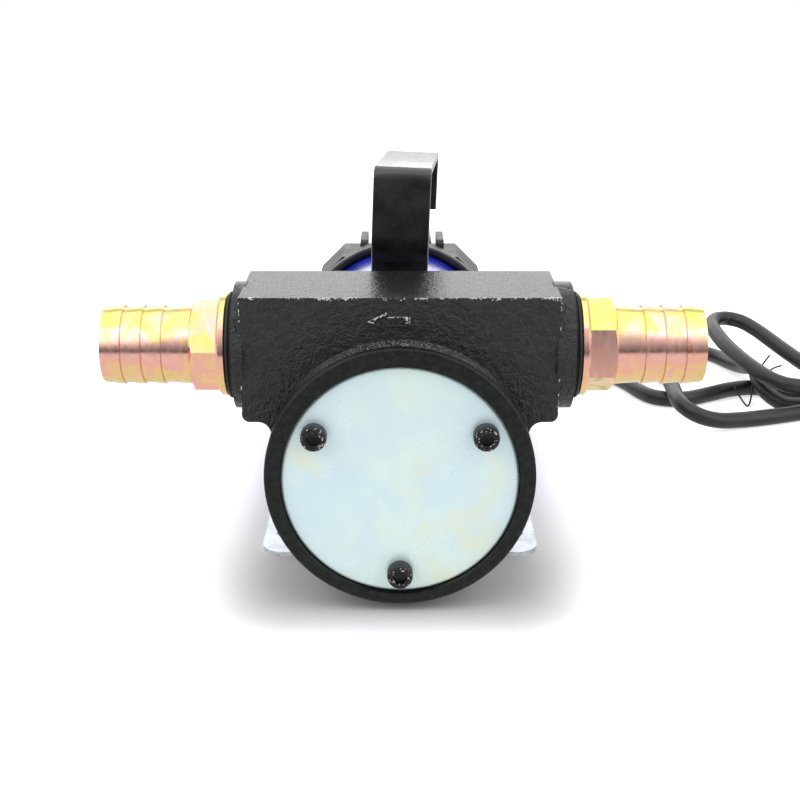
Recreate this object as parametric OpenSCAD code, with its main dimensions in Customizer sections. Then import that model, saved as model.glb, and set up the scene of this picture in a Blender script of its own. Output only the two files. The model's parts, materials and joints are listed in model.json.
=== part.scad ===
// Electric diesel transfer pump: a rotary vane head with two hose tails,
// a brushed motor behind it, a rocker switch, a carry handle and a mains lead.
// Millimetres. +X is the inlet side, +Y runs from the cover to the switch box,
// +Z is up. The origin is on the floor, at the centre of the foot's four holes.

/* [Pump head] */
// Outside diameter of the round pump head
head_d = 104; // [88:1:124]
// Depth of the pump head, from its rim to its back face
head_depth = 62; // [54:1:74]
// Gap between the pump head and the floor
head_floor_gap = 3; // [2:0.5:6]
// Width of the rim around the cover plate
rim_w = 6; // [5:0.5:8]
// Radial gap between the cover plate and the rim
plate_gap = 0.3; // [0.2:0.05:0.4]
// Thickness of the cover plate
plate_t = 4; // [3:0.5:5]
// How far the plate's face lies behind the rim
plate_sink = 2; // [1:0.5:3]
// How far the recess and its plate sit below the head's middle
plate_drop = 1.2; // [1:0.05:1.5]
// Thickness of the gasket behind the plate
gasket_t = 0.5; // [0.4:0.1:0.8]
// Distance of the cover screws from the plate's edge
screw_edge = 8.1; // [6.7:0.1:9.7]
// Length of the pumping chamber
chamber_len = 28; // [23:1:33]
// Offset of the chamber's centre below the shaft
chamber_ecc = 3.3; // [2.7:0.1:3.9]
// Wall between the chamber and the lowest cover screw
chamber_wall = 4.2; // [3.4:0.1:5]
// Wall behind the chamber
chamber_back = 4; // [3.2:0.2:5]

/* [Port block] */
// Width of the port block
block_w = 121.6; // [101:0.1:145]
// Height of the port block
block_h = 49; // [41:1:58]
// Height of the block's underside above the shaft
block_rise = 19.2; // [16:0.2:23]
// Step from the rim back to the block's front face
block_step = 12.7; // [10.5:0.1:15]
// Step from the head's back face forward to the block's back face
block_back_step = 2; // [1.6:0.1:2.4]
// Rounding of the block's lower corners
block_corner_r = 3; // [2:0.5:5]
// Rounding of the inner corners between block and head
block_fillet_r = 5; // [3:0.5:7]
// Diameter of the round bosses at the ports
boss_d = 50; // [42:1:60]
// How far the inlet boss stands out of the block
inlet_boss_len = 6.2; // [5.1:0.1:7.4]
// How far the outlet boss stands out of the block
outlet_boss_len = 3.6; // [3:0.1:4.3]
// Diameter of the port threads, one-inch pipe
port_thread_d = 33.2; // [28:0.1:39]
// Length of the port threads
port_thread_len = 16; // [13:0.5:19]
// Diameter of the flow bores inside the block
port_bore_d = 25; // [21:0.5:28]
// Wall between the two flow bores
port_web = 12; // [10:0.5:14.5]
// Diameter of the two passages down into the chamber
passage_d = 12; // [10:0.5:14]
// Distance of each passage from the shaft, sideways
passage_x = 24; // [20:0.5:26]
// Length of the raised flow arrow
arrow_len = 16.2; // [13.4:0.1:19.4]

/* [Hose tails] */
// Diameter of the rubber washers under the hose tails
washer_d = 42; // [40:0.5:48]
// Thickness of the rubber washers
washer_t = 2.6; // [2.1:0.1:3.1]
// Diameter of the round flange on each hose tail
tail_flange_d = 40; // [38:0.5:47]
// Thickness of that flange
tail_flange_t = 3.6; // [3:0.1:4.3]
// Hexagon on each hose tail, across flats
tail_hex_af = 32.8; // [31:0.1:39]
// Length of the hexagon
tail_hex_len = 10.9; // [9:0.1:13]
// Diameter of the barbs at their crests
barb_d = 31.2; // [27.5:0.1:34]
// Length of the barbed part
barb_len = 34.7; // [29:0.1:41]
// Radial height of each barb
barb_step = 0.8; // [0.6:0.05:1]
// Flow bore of the hose tails
tail_bore_d = 24; // [20:0.5:25]

/* [Bypass valve] */
// Bore of the valve seat in the wall between the ports
seat_d = 10; // [8:0.5:12]
// Diameter of the poppet's disc
poppet_d = 15; // [13:0.5:18]
// Thickness of the poppet's disc
poppet_t = 4; // [3:0.5:5]
// Stem diameter of the poppet
stem_d = 4; // [3.2:0.2:4.8]
// Length of the closed spring
bypass_spring_len = 18; // [15:0.5:21]
// Thickness of the spring's perforated retainer
retainer_t = 3; // [2.5:0.1:3.6]

/* [Motor] */
// Length of the cast bell between pump head and motor tube
bell_len = 30; // [25:1:36]
// Thickness of the bell's flange on the pump head
bell_flange_t = 8; // [6.5:0.5:9.5]
// Diameter of the bell's neck
bell_neck_d = 68; // [58:1:72]
// Thickness of the bell's disc at the motor tube
bell_disc_t = 8; // [6.5:0.5:9.5]
// Outside diameter of the motor tube
tube_d = 92; // [78:1:104]
// Wall of the motor tube
tube_wall = 3; // [2.5:0.1:3.6]
// Length of the motor tube
tube_len = 120; // [104:1:144]
// Distance from the tube's front end to the centre of the foot
foot_setback = 18; // [15:0.5:21]
// Wall of the rear bell's collar around the tube
collar_wall = 4.7; // [4:0.1:5.6]
// How far the collar laps over the tube
collar_lap = 6; // [5:0.5:7]
// Thickness of the rear bell's web
web_t = 6; // [5:0.5:7]
// Thickness of the field magnets
magnet_t = 6.5; // [5.5:0.5:7.5]
// Angle that each field magnet covers
magnet_angle = 116; // [98:1:120]
// Air gap between magnets and armature
air_gap = 1.2; // [1:0.1:1.4]
// Distance from the tube's front end to the armature core
armature_front = 12; // [11:0.5:14]
// Distance from the armature core to the tube's rear end
armature_rear = 48; // [44:1:54]
// How far the armature's windings stand out at each end
winding_over = 8; // [6:0.5:8.5]
// Diameter of the shaft in the pump and the front bearing
shaft_d = 12; // [10:0.5:14]
// Diameter of the shaft inside the motor
core_d = 15; // [14.5:0.5:17]
// Diameter of the shaft in the rear bearing
tail_d = 10; // [8.5:0.5:12]
// Outside diameter of the front bearing
front_bearing_d = 32; // [28:1:37]
// Width of the front bearing
front_bearing_w = 10; // [8.5:0.5:12]
// Outside diameter of the rear bearing
rear_bearing_d = 30; // [26:1:35]
// Width of the rear bearing
rear_bearing_w = 9; // [7.5:0.5:10.5]
// Diameter of the commutator
commutator_d = 28; // [24:1:32]
// Length of the commutator
commutator_len = 18; // [16:1:21]

/* [Switch box] */
// Width and height of the switch box
house_w = 84; // [80:1:100]
// Size of its cut corners
house_chamfer = 12.3; // [10:0.1:14.6]
// Wall of the switch box
house_wall = 3; // [2.5:0.1:3.6]
// Depth of the switch box
house_depth = 32; // [31:1:38]
// Gap between the two guard walls beside the switch
ear_gap = 35.8; // [32.3:0.1:37]
// Thickness of the guard walls
ear_t = 3.8; // [3.1:0.1:4.6]
// Height of the guard walls
ear_h = 7.4; // [6.2:0.1:8.8]
// Sideways shift of the switch from the middle
switch_shift = 1.1; // [0:0.1:1.3]
// Length of the switch's bezel, across the pump
bezel_w = 29; // [27:0.5:29]
// Width of the switch's bezel, along the pump
bezel_l = 24; // [22:0.5:25]
// Height of the bezel above the box
bezel_t = 2; // [1.6:0.1:2.4]
// Tilt of the rocker to either side
rocker_tilt = 10; // [8:1:12]
// Height of the clear rain boot over the switch
boot_h = 15; // [12:0.5:17.5]
// Wall of the rain boot
boot_wall = 1.2; // [1:0.1:1.4]
// Sideways place of the cord gland
gland_x = 20; // [18:1:22]
// Depth of the cord gland below the shaft
gland_drop = 14; // [12:1:16]

/* [Foot] */
// Width of the foot bracket
bracket_w = 119; // [108:1:140]
// Length of the foot bracket
bracket_len = 114; // [96:1:124]
// Sheet thickness of the bracket
bracket_t = 2; // [1.7:0.1:2.4]
// Height of the motor tube above the floor
tube_lift = 9; // [8.5:0.5:11]
// Distance of the foot holes from the bracket's long sides
hole_side = 9.5; // [7.9:0.1:11.4]
// Distance of the foot holes from the bracket's ends
hole_end = 21; // [17.5:0.5:25]
// Diameter of the foot holes
hole_d = 8.5; // [7:0.1:10]
// Corner rounding of the bracket
bracket_r = 10; // [8:0.5:12]
// Length of the saddle under the motor tube
saddle_len = 64; // [54:1:76]

/* [Carry handle] */
// Width of the handle's strip
handle_w = 24.4; // [20:0.1:29]
// Thickness of the handle's strip
handle_t = 3; // [2.5:0.1:3.6]
// Distance from the tube's front end to the handle's leg
handle_setback = 5; // [4:0.5:6]
// Height of the handle's top above the motor tube, at its front
handle_rise = 59.7; // [49.5:0.1:71]
// Length of the flat grip
handle_grip = 87.6; // [73:0.1:100]
// How far the grip falls from front to rear
handle_fall = 4.7; // [3.9:0.1:5.6]
// How far the leg's upper part stands ahead of its lower part
handle_lean = 5.5; // [4.5:0.1:6.6]
// Length of the lip that hangs down at the grip's rear end
handle_lip = 26; // [21:1:31]
// Length of the handle's curved foot on the tube
handle_foot = 40; // [34:1:47]
// Yaw of the handle, in degrees
handle_yaw = 3.5; // [0:0.5:4]
// Roll of the handle to the inlet side, in degrees
handle_roll = 2.2; // [0:0.1:2.6]

/* [Mains lead] */
// Diameter of the mains lead
cord_d = 8.8; // [8.8:0.1:9]
// Length of the strain relief outside the gland
relief_len = 28; // [24:1:33]
// Diameter of the plug's round body
plug_d = 37; // [31:1:44]
// Length of the plug's body
plug_len = 38; // [32:1:45]
// Length of the plug's pins
pin_len = 19; // [16:1:22]
// Distance between the plug's pins
pin_gap = 19; // [16:1:22]

/* [Hidden] */
$fn = 72;
// Radial clearance of turned fits, and the clearance of loose parts
fit = 0.05;
slack = 0.3;
// How far a cut runs past the face that it opens
cut = 1;
// Metric fasteners: shank radius, head radius, head height
m6_r = 3;
m6_head_r = 5;
m6_head_h = 6;
m6_key_af = 5;
m6_hex_af = 10;
m6_hex_h = 4;
m5_r = 2.5;
m5_head_r = 4.5;
m5_head_h = 3;
m4_r = 2;
m4_head_r = 3.8;
m4_head_h = 2.4;
edge = 0.8;

// Places along the pump, from the foot's centre
y_tube = -foot_setback;
y_head_back = y_tube - bell_len;
y_rim = y_head_back - head_depth;
y_tube_end = y_tube + tube_len;
y_box = y_tube_end + web_t;
y_box_end = y_box + house_depth;
y_switch = y_box + house_depth / 2;

// Pump head
head_r = head_d / 2;
tube_r = tube_d / 2;
tube_in_r = tube_r - tube_wall;
axis_z = max(head_r + head_floor_gap, tube_r + tube_lift);
recess_r = head_r - rim_w;
recess_depth = plate_sink + plate_t + gasket_t;
plate_r = recess_r - plate_gap;
cover_circle_r = plate_r - screw_edge;
cover_angles = [30, 150, 270];
cover_thread = 10;
rim_round = 1.3;
rim_steps = 4;
chamber_r = cover_circle_r + plate_drop - m6_r - chamber_wall - chamber_ecc;
rotor_r = chamber_r - chamber_ecc - slack;
y_chamber = y_rim + recess_depth;
y_back_wall = y_chamber + chamber_len;
y_seal = y_back_wall + chamber_back;
shaft_r = shaft_d / 2;
seal_wall = 6;
seal_r = shaft_r + seal_wall;
seal_len = 7;
pilot_r = 22;
pilot_depth = 4;
bolt_circle_r = (bell_neck_d / 2 + head_r) / 2;
bolt_angles = [45, 135, 225, 315];
bolt_thread = 9;
side_gap = 0.1;

// Port block
block_depth = head_depth - block_step - block_back_step;
y_block = y_rim + block_step;
port_y = y_block + block_depth / 2;
port_rise = block_rise + block_h / 2;
inlet_face = block_w / 2 + inlet_boss_len;
outlet_face = block_w / 2 + outlet_boss_len;
port_thread_r = port_thread_d / 2;
port_bore_r = port_bore_d / 2;
passage_r = passage_d / 2;
passage_dip_share = 0.3;
passage_inset = 1.5;
passage_back = passage_r + passage_inset;
fillet_bite = 0.4;
fillet_reach = head_r + block_fillet_r - fillet_bite;
fillet_z = block_rise - block_fillet_r;
fillet_x = sqrt(fillet_reach * fillet_reach - fillet_z * fillet_z);
arrow_head_share = 0.45;
arrow_shaft_share = 0.24;
arrow_ridge_share = 0.76;
arrow_height = 0.8;
arrow_x = -4.2;
arrow_rise_share = 0.815;

// Hose tails
thread_gap = 2;
tail_thread_len = port_thread_len + washer_t - thread_gap;
barb_band_shares = [0.3155, 0.2275, 0.229, 0.228];
barb_count = len(barb_band_shares);
barb_r = barb_d / 2;
hex_soft = 0.4;
// Turn of each hexagon as it is screwed home, in degrees
inlet_hex_turn = -2;
outlet_hex_turn = 25;

// Bypass valve
seat_r = seat_d / 2;
poppet_r = poppet_d / 2;
stem_r = stem_d / 2;
spring_wire = 1.4;
spring_r = poppet_r - spring_wire;
x_poppet = port_web / 2;
x_spring = x_poppet + poppet_t;
x_retainer = x_spring + bypass_spring_len;
stem_over = 3;
retainer_holes = 4;

// Motor
neck_r = bell_neck_d / 2;
core_r = core_d / 2;
tail_r = tail_d / 2;
spigot_len = 6;
spigot_wall = 5;
collar_r = tube_r + collar_wall;
y_collar = y_tube_end - collar_lap;
collar_bevel = 2;
front_bearing_r = front_bearing_d / 2;
rear_bearing_r = rear_bearing_d / 2;
bearing_sink = 1;
hub_len = rear_bearing_w - bearing_sink;
y_hub = y_tube_end - hub_len;
y_web_mid = y_tube_end + web_t / 2;
hub_wall = 4;
web_flange_t = 4;
tie_x = 17.5;
tie_inset = 1.5;
tie_circle_r = tube_in_r - m5_r - tie_inset;
tie_z = sqrt(tie_circle_r * tie_circle_r - tie_x * tie_x);
tie_head_af = 7;
tie_head_h = 3.4;
y_core = y_tube + armature_front;
core_len = tube_len - armature_front - armature_rear;
magnet_in_r = tube_in_r - magnet_t;
magnet_over = 4;
armature_r = magnet_in_r - air_gap;
slot_count = 12;
slot_w = 3;
slot_depth = 11;
winding_sink = 4;
winding_r = armature_r - winding_sink;
winding_inset = 9;
winding_in_r = core_r + winding_inset;
winding_round = 2.5;
plate_ring_t = 4;
y_ring = y_hub - plate_ring_t;
commutator_r = commutator_d / 2;
commutator_back = 4;
y_commutator = y_ring - commutator_back - commutator_len;
riser_t = 3;
groove_w = 0.6;
brush_y = y_commutator + riser_t + (commutator_len - riser_t) / 2;
brush_half = 4.2;
brush_h = 3.2;
brush_len = 12;
holder_wall = 1.5;
holder_len = 18;
holder_gap = 2;
holder_foot = 8;
ring_gap = 6;
ring_share = 0.24;
ball_count = 8;
lead_hole_r = 4;
lead_hole_x = -20;
lead_hole_z = 20;

// Rotor pieces
vane_count = 5;
vane_t = 4;
vane_depth = 12;
key_w = 4;
key_len = 16;
shaft_inset = 2.5;
y_shaft = y_chamber + shaft_inset;
y_shaft_end = y_tube_end + 0.5;

// Switch box
house_half = house_w / 2;
inner_chamfer = house_chamfer - house_wall * (2 - sqrt(2));
post_inset = 11;
post_r = 4.5;
post_at = house_half - post_inset;
body_depth = 18;
bezel_lip_w = 1.9;
bezel_lip_l = 1.7;
body_w = bezel_w - 2 * bezel_lip_w;
body_l = bezel_l - 2 * bezel_lip_l;
rocker_side = 1.2;
rocker_end = 2;
rocker_r = body_w / 2 - rocker_side;
rocker_l = body_l - 2 * rocker_end;
rocker_floor = 5;
rocker_top = 2.2;
pivot_rise = 1;
pivot_r = 1.5;
ear_inset = 2;
ear_len = house_depth - 2 * ear_inset;
ear_r = 3;
boot_gap = 0.2;
boot_r = 4;
terminal_t = 0.8;
terminal_w = 4.8;
terminal_len = 8;
terminal_x = 6;
rectifier_w = 28;
rectifier_t = 8;
rectifier_x = -16;
rectifier_z = -6;

// Cord gland
gland_thread_r = 8;
gland_hex_af = 22;
gland_hex_t = 4;
gland_reach = 6;
gland_neck = 6;
locknut_t = 4;
cap_r = 10.5;
cap_len = 14;
cap_end_r = 8;
cap_lip = 3.4;
cord_r = cord_d / 2;
relief_root_r = 6.4;
relief_wide_r = 7.2;
relief_tip_r = 5.5;
y_gland = y_box_end + gland_hex_t;
y_cap_end = y_gland + cap_len;
y_relief = y_gland + gland_neck + cut;
y_exit = y_cap_end + relief_len;
gland_z = axis_z - gland_drop;

// Foot
hole_x = bracket_w - 2 * hole_side;
hole_y = bracket_len - 2 * hole_end;
saddle_angle = 35;
saddle_in_r = tube_r + fit;
saddle_r = saddle_in_r + bracket_t;
leg_x = saddle_r * sin(saddle_angle);
y_saddle = -14;
bracket_screw_shares = [0.28, 0.78];
screw_reach = 4;

// Carry handle
leg_y = y_tube + handle_setback;
handle_top = tube_r + handle_rise;
saddle_top_r = tube_r + handle_t;
// The strip's front as shares of the rise: the straight leg, the double bend's end, the roll's pivot
leg_top_share = 0.235;
bend_top_share = 0.502;
roll_share = 0.32;
curve_steps = 10;
handle_screw_shares = [0.4, 0.8];

// Plug, tie and lead
plug_x = 288;
plug_y = 206;
plug_relief_len = 20;
plug_neck_r = 8;
plug_shoulder_share = 0.35;
plug_lift = 0.1;
pin_r = 2.4;
tie_at_x = 256;
tie_y = 141;
tie_z0 = 11.2;
tie_half_y = 15;
tie_half_z = 9.3;
tie_wall = 1;
tie_w = 4;
tie_corner = 6;
lead_r = 1.2;
lead_steps = 8;

// Route of the lead from the gland to the bundle's tie, in millimetres
cord_route = [
    [20, 165, 41], [20, 178, 41], [20, 190, 41], [21, 206, 36], [26, 222, 25],
    [37, 236, 13], [54, 244, 6], [75, 244, 4.6], [95, 236, 4.6], [112, 221, 4.6],
    [125, 203, 4.6], [134, 183, 4.6], [139, 167, 4.6], [145, 156, 4.6], [155, 151.5, 4.6],
    [166, 154, 4.6], [179, 162, 4.6], [193, 171, 4.6], [207, 174, 4.6], [221, 166, 4.6],
    [233, 156, 5], [244, 151, 6.4], [256, 151, 6.4], [268, 151, 6.4]
];
// Route of the tied loops that follow, ending in the plug
hank_route = [
    [268, 151, 6.4], [282, 153, 5], [298, 155, 4.6], [313, 151, 4.6], [323, 141, 4.6],
    [326, 128, 4.6], [321, 115, 4.6], [310, 106, 4.6], [297, 104, 4.6], [284, 109, 4.6],
    [272, 121, 5], [260, 130, 6.4], [246, 132, 6.4], [232, 131, 5], [216, 125, 4.6],
    [201, 119, 4.6], [186, 114, 4.8], [172, 108, 6.5], [161, 107, 9.5], [154, 113, 12.5],
    [152, 125, 14], [153, 140, 14.2], [154, 156, 14], [155, 174, 11], [157, 194, 7],
    [161, 214, 4.8], [166, 232, 4.6], [173, 246, 4.6], [182, 253, 4.6], [192, 251, 4.6],
    [199, 242, 4.6], [204, 228, 4.8], [208, 211, 6.8], [209, 194, 11.4], [208, 178, 14.2],
    [206, 165, 14], [206, 154, 11.5], [210, 144, 8], [218, 139, 5.2], [231, 140.6, 5.2],
    [244, 141.4, 6.4], [256, 140.8, 6.4], [268, 141, 7], [281, 144, 10], [295, 147, 13.6],
    [309, 145, 14.2], [318, 137, 14.2], [320, 127, 14.2], [315, 118, 14.2], [305, 114, 14.4],
    [293, 115, 15], [281, 121, 15.6], [269, 130, 15.8], [257, 136, 15.8], [246, 136.6, 16],
    [235, 134, 17], [223, 131, 18.4], [213, 131, 19.6], [206, 138, 21], [201, 150, 22.6],
    [196, 166, 24.6], [192, 184, 27], [190, 202, 29], [190, 217, 30.6], [194, 229, 31.4],
    [202, 235, 31], [211, 232, 29.6], [218, 222, 27], [224, 207, 24], [230, 190, 21],
    [237, 173, 18], [245, 159, 16.4], [255, 148, 15.9], [266, 147, 15.9], [275, 155, 15.4],
    [282, 167, 15.4], [286, 180, 17], [288, 193, 18.6], [288, 206, 18.6]
];
cord_sides = 8;

// Shapes placed about the shaft axis, whose height is zero in these modules
module on_axis() translate([0, 0, axis_z]) children();
module rod(y, length, r) translate([0, y, 0]) rotate([-90, 0, 0]) cylinder(h = length, r = r);
module rod_x(x, length, r) translate([x, 0, 0]) rotate([0, 90, 0]) cylinder(h = length, r = r);
module pipe(y, length, r_out, r_in) difference() {
    rod(y, length, r_out);
    rod(y - cut, length + 2 * cut, r_in);
}
module turned(points) rotate([-90, 0, 0]) rotate_extrude() polygon(points);
module turned_x(points) rotate([0, 90, 0]) rotate_extrude() polygon(points);
module slab_xz(y, depth) translate([0, y + depth, 0]) rotate([90, 0, 0])
    linear_extrude(depth) children();
module slab_yz(x, depth) translate([x, 0, 0]) rotate([90, 0, 90])
    linear_extrude(depth) children();
module around(r, angles) for (a = angles)
    translate([r * cos(a), 0, r * sin(a)]) children();
module on_ports() on_axis() translate([0, port_y, port_rise]) children();
module hex_rod(y, length, af) translate([0, y, 0]) rotate([-90, 0, 0])
    cylinder(h = length, r = af / 2 / cos(30), $fn = 6);
module rounded_rect(w, h, r) {
    square([w - 2 * r, h], center = true);
    square([w, h - 2 * r], center = true);
    for (sx = [-1, 1], sy = [-1, 1])
        translate([sx * (w / 2 - r), sy * (h / 2 - r)]) circle(r);
}
module cut_corner_square(w, chamfer) {
    h = w / 2;
    k = h - chamfer;
    polygon([[h, -k], [h, k], [k, h], [-k, h], [-h, k], [-h, -k], [-k, -h], [k, -h]]);
}

// Outline of a strip of even thickness along a path of [y, z] points
function strip_normal(path, i) =
    let (a = path[max(i - 1, 0)], b = path[i], c = path[min(i + 1, len(path) - 1)],
         u = i == 0 ? (c - b) / norm(c - b) : (b - a) / norm(b - a),
         v = i == len(path) - 1 ? u : (c - b) / norm(c - b),
         m = [-(u[1] + v[1]), u[0] + v[0]], n = m / norm(m))
    n / (n * [-u[1], u[0]]);
function strip_outline(path, t) = concat(
    [for (i = [0:len(path) - 1]) path[i] + strip_normal(path, i) * t / 2],
    [for (i = [len(path) - 1:-1:0]) path[i] - strip_normal(path, i) * t / 2]);
function bezier(a, b, c, d, s) =
    a * pow(1 - s, 3) + b * 3 * s * pow(1 - s, 2) + c * 3 * s * s * (1 - s) + d * pow(s, 3);

// A round tube swept along a path, as one closed surface
function unit(v) = v / norm(v);
function heading(path, i) =
    unit(path[min(i + 1, len(path) - 1)] - path[max(i - 1, 0)]);
function tube_ring(path, i, r, sides) =
    let (t = heading(path, i),
         s = abs(t[2]) > 0.9 ? unit(cross([1, 0, 0], t)) : unit(cross([0, 0, 1], t)),
         u = cross(t, s))
    [for (k = [0:sides - 1]) path[i] + r * (cos(360 * k / sides) * s + sin(360 * k / sides) * u)];
module sweep_tube(path, r, sides) {
    n = len(path);
    points = [for (i = [0:n - 1]) each tube_ring(path, i, r, sides)];
    walls = [for (i = [0:n - 2], k = [0:sides - 1])
        let (a = i * sides + k, b = i * sides + (k + 1) % sides)
        each [[a, a + sides, b], [b, a + sides, b + sides]]];
    front = [for (k = [1:sides - 2]) [0, k, k + 1]];
    last = (n - 1) * sides;
    back = [for (k = [1:sides - 2]) [last, last + k + 1, last + k]];
    polyhedron(points = points, faces = concat(walls, front, back));
}

// Least gap of the tied loops to themselves, measured on points along them
function between(path, steps) = [for (i = [0:len(path) - 2], k = [0:steps - 1])
    path[i] + (path[i + 1] - path[i]) * k / steps];
function least_gap(points, skip) = min([for (i = [0:len(points) - 1])
    for (j = [i + skip:1:len(points) - 1]) norm(points[i] - points[j])]) - cord_d;
whole_route = concat(cord_route, [for (i = [1:len(hank_route) - 1]) hank_route[i]]);
echo(least_gap_of_lead = least_gap(between(whole_route, 4), 12));  // cord_hank

// Pump head
module block_outline() {
    translate([-block_w / 2, block_rise + block_corner_r])
        square([block_w, block_h - block_corner_r]);
    translate([-block_w / 2 + block_corner_r, block_rise])
        square([block_w - 2 * block_corner_r, block_h]);
    for (s = [-1, 1]) {
        translate([s * (block_w / 2 - block_corner_r), block_rise + block_corner_r])
            circle(block_corner_r);
        scale([s, 1]) difference() {
            polygon([[0, block_rise + block_corner_r], [fillet_x, block_rise + block_corner_r],
                     [fillet_x, fillet_z], [0, 0]]);
            translate([fillet_x, fillet_z]) circle(block_fillet_r);
        }
    }
}
module arrow_outline(size) {
    head = arrow_head_share * size;
    shaft = arrow_shaft_share * size;
    polygon([[-size / 2, 0], [-size / 2 + head, head / 2], [-size / 2 + head, shaft / 2],
             [size / 2, shaft / 2], [size / 2, -shaft / 2], [-size / 2 + head, -shaft / 2],
             [-size / 2 + head, -head / 2]]);
}
module flow_arrow() translate([arrow_x, 0, block_rise + arrow_rise_share * block_h])
    slab_xz(y_block - arrow_height, arrow_height + cut) difference() {
        arrow_outline(arrow_len);
        arrow_outline(arrow_len * arrow_ridge_share);
    }
rim_arc = [for (k = [0:rim_steps]) let (a = 90 * k / rim_steps)
    [head_r - rim_round * (1 - sin(a)), y_rim + rim_round * (1 - cos(a))]];
module on_cover() on_axis() translate([0, 0, -plate_drop]) children();
module port_cuts(face) {
    rod_x(face - port_thread_len, port_thread_len + cut, port_thread_r);
    rod_x(port_web / 2, face - port_web / 2, port_bore_r);
}
module pump_casting() color([0.17, 0.18, 0.18]) difference() {
    union() {
        on_axis() {
            turned(concat([[0, y_rim]], rim_arc, [[head_r, y_head_back], [0, y_head_back]]));
            slab_xz(y_block, block_depth) block_outline();
            flow_arrow();
        }
        on_ports() {
            rod_x(block_w / 2 - cut, inlet_boss_len + cut, boss_d / 2);
            mirror([1, 0, 0]) rod_x(block_w / 2 - cut, outlet_boss_len + cut, boss_d / 2);
        }
    }
    on_cover() {
        rod(y_rim - cut, recess_depth + cut, recess_r);
        around(cover_circle_r, cover_angles)
            rod(y_chamber - cut, cover_thread + 2 * cut + gasket_t, m6_r + fit);
    }
    on_axis() {
        translate([0, 0, -chamber_ecc]) rod(y_chamber - cut, chamber_len + cut, chamber_r);
        rod(y_back_wall - cut, chamber_back + 2 * cut, shaft_r + slack);
        rod(y_seal, y_head_back - y_seal + cut, seal_r);
        rod(y_head_back - pilot_depth, pilot_depth + cut, pilot_r);
        around(bolt_circle_r, bolt_angles)
            rod(y_head_back - bolt_thread - cut, bolt_thread + 2 * cut, m6_r + fit);
        for (s = [-1, 1])
            translate([s * passage_x, y_back_wall - passage_back, passage_dip_share * chamber_r])
                cylinder(h = port_rise - passage_dip_share * chamber_r, r = passage_r);
    }
    on_ports() {
        port_cuts(inlet_face);
        mirror([1, 0, 0]) port_cuts(outlet_face);
        rod_x(-port_web / 2 - cut, port_web + 2 * cut, seat_r);
    }
}
module cover_plate() color([0.80, 0.86, 0.86]) on_cover() difference() {
    turned([[0, y_rim + plate_sink], [plate_r - edge, y_rim + plate_sink],
            [plate_r, y_rim + plate_sink + edge], [plate_r, y_chamber - gasket_t],
            [0, y_chamber - gasket_t]]);
    around(cover_circle_r, cover_angles)
        rod(y_rim, plate_sink + plate_t + cut, m6_r + slack);
}
module cover_gasket() color([0.55, 0.42, 0.28]) on_cover() difference() {
    rod(y_chamber - gasket_t, gasket_t, plate_r);
    translate([0, 0, plate_drop - chamber_ecc])
        rod(y_chamber - gasket_t - cut, gasket_t + 2 * cut, chamber_r);
    around(cover_circle_r, cover_angles)
        rod(y_chamber - gasket_t - cut, gasket_t + 2 * cut, m6_r + slack);
}
module cover_screws() color([0.10, 0.10, 0.11]) on_cover() around(cover_circle_r, cover_angles)
    difference() {
        y_face = y_rim + plate_sink;
        union() {
            turned([[0, y_face - m6_head_h], [m6_head_r - edge, y_face - m6_head_h],
                    [m6_head_r, y_face - m6_head_h + edge], [m6_head_r, y_face], [0, y_face]]);
            rod(y_face - cut, plate_t + gasket_t + cover_thread + cut, m6_r);
        }
        hex_rod(y_face - m6_head_h - cut, m6_head_h / 2 + cut, m6_key_af);
    }

// Ports
module port_washer(face) difference() {
    rod_x(face, washer_t, washer_d / 2);
    rod_x(face - cut, washer_t + 2 * cut, port_thread_r + fit);
}
module port_washers() color([0.05, 0.05, 0.05]) on_ports() {
    port_washer(inlet_face);
    mirror([1, 0, 0]) port_washer(outlet_face);
}
function barb_start(i) = i == 0 ? 0 : barb_start(i - 1) + barb_band_shares[i - 1] * barb_len;
function barb_points(x) = concat([[0, x - cut], [barb_r, x - cut]],
    [for (i = [0:barb_count - 1]) each [
        [barb_r, x + barb_start(i)], [barb_r - barb_step, x + barb_start(i + 1)]]],
    [[0, x + barb_len]]);
module tail_hex(x, turn) {
    corner_r = tail_hex_af / 2 / cos(30);
    end_r = tail_hex_af / 2 - hex_soft;
    intersection() {
        translate([x - cut, 0, 0]) rotate([0, 90, 0]) rotate([0, 0, turn])
            cylinder(h = tail_hex_len + cut, r = corner_r, $fn = 6);
        turned_x([[0, x - cut], [corner_r + cut, x - cut],
                  [corner_r + cut, x + tail_hex_len - (corner_r + cut - end_r) / 2],
                  [end_r, x + tail_hex_len], [0, x + tail_hex_len]]);
    }
}
module hose_tail(turn) {
    total = tail_flange_t + tail_hex_len + barb_len;
    difference() {
        union() {
            rod_x(-tail_thread_len, tail_thread_len + cut, port_thread_r - fit);
            turned_x([[0, 0], [tail_flange_d / 2 - edge, 0], [tail_flange_d / 2, edge],
                      [tail_flange_d / 2, tail_flange_t - edge],
                      [tail_flange_d / 2 - edge, tail_flange_t], [0, tail_flange_t]]);
            tail_hex(tail_flange_t, turn);
            turned_x(barb_points(tail_flange_t + tail_hex_len));
        }
        rod_x(-tail_thread_len - cut, total + tail_thread_len + 2 * cut, tail_bore_d / 2);
    }
}
module hose_tail_inlet() color([0.85, 0.72, 0.42]) on_ports()
    translate([inlet_face + washer_t, 0, 0]) hose_tail(inlet_hex_turn);
module hose_tail_outlet() color([0.85, 0.72, 0.42]) on_ports()
    mirror([1, 0, 0]) translate([outlet_face + washer_t, 0, 0]) hose_tail(outlet_hex_turn);

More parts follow.
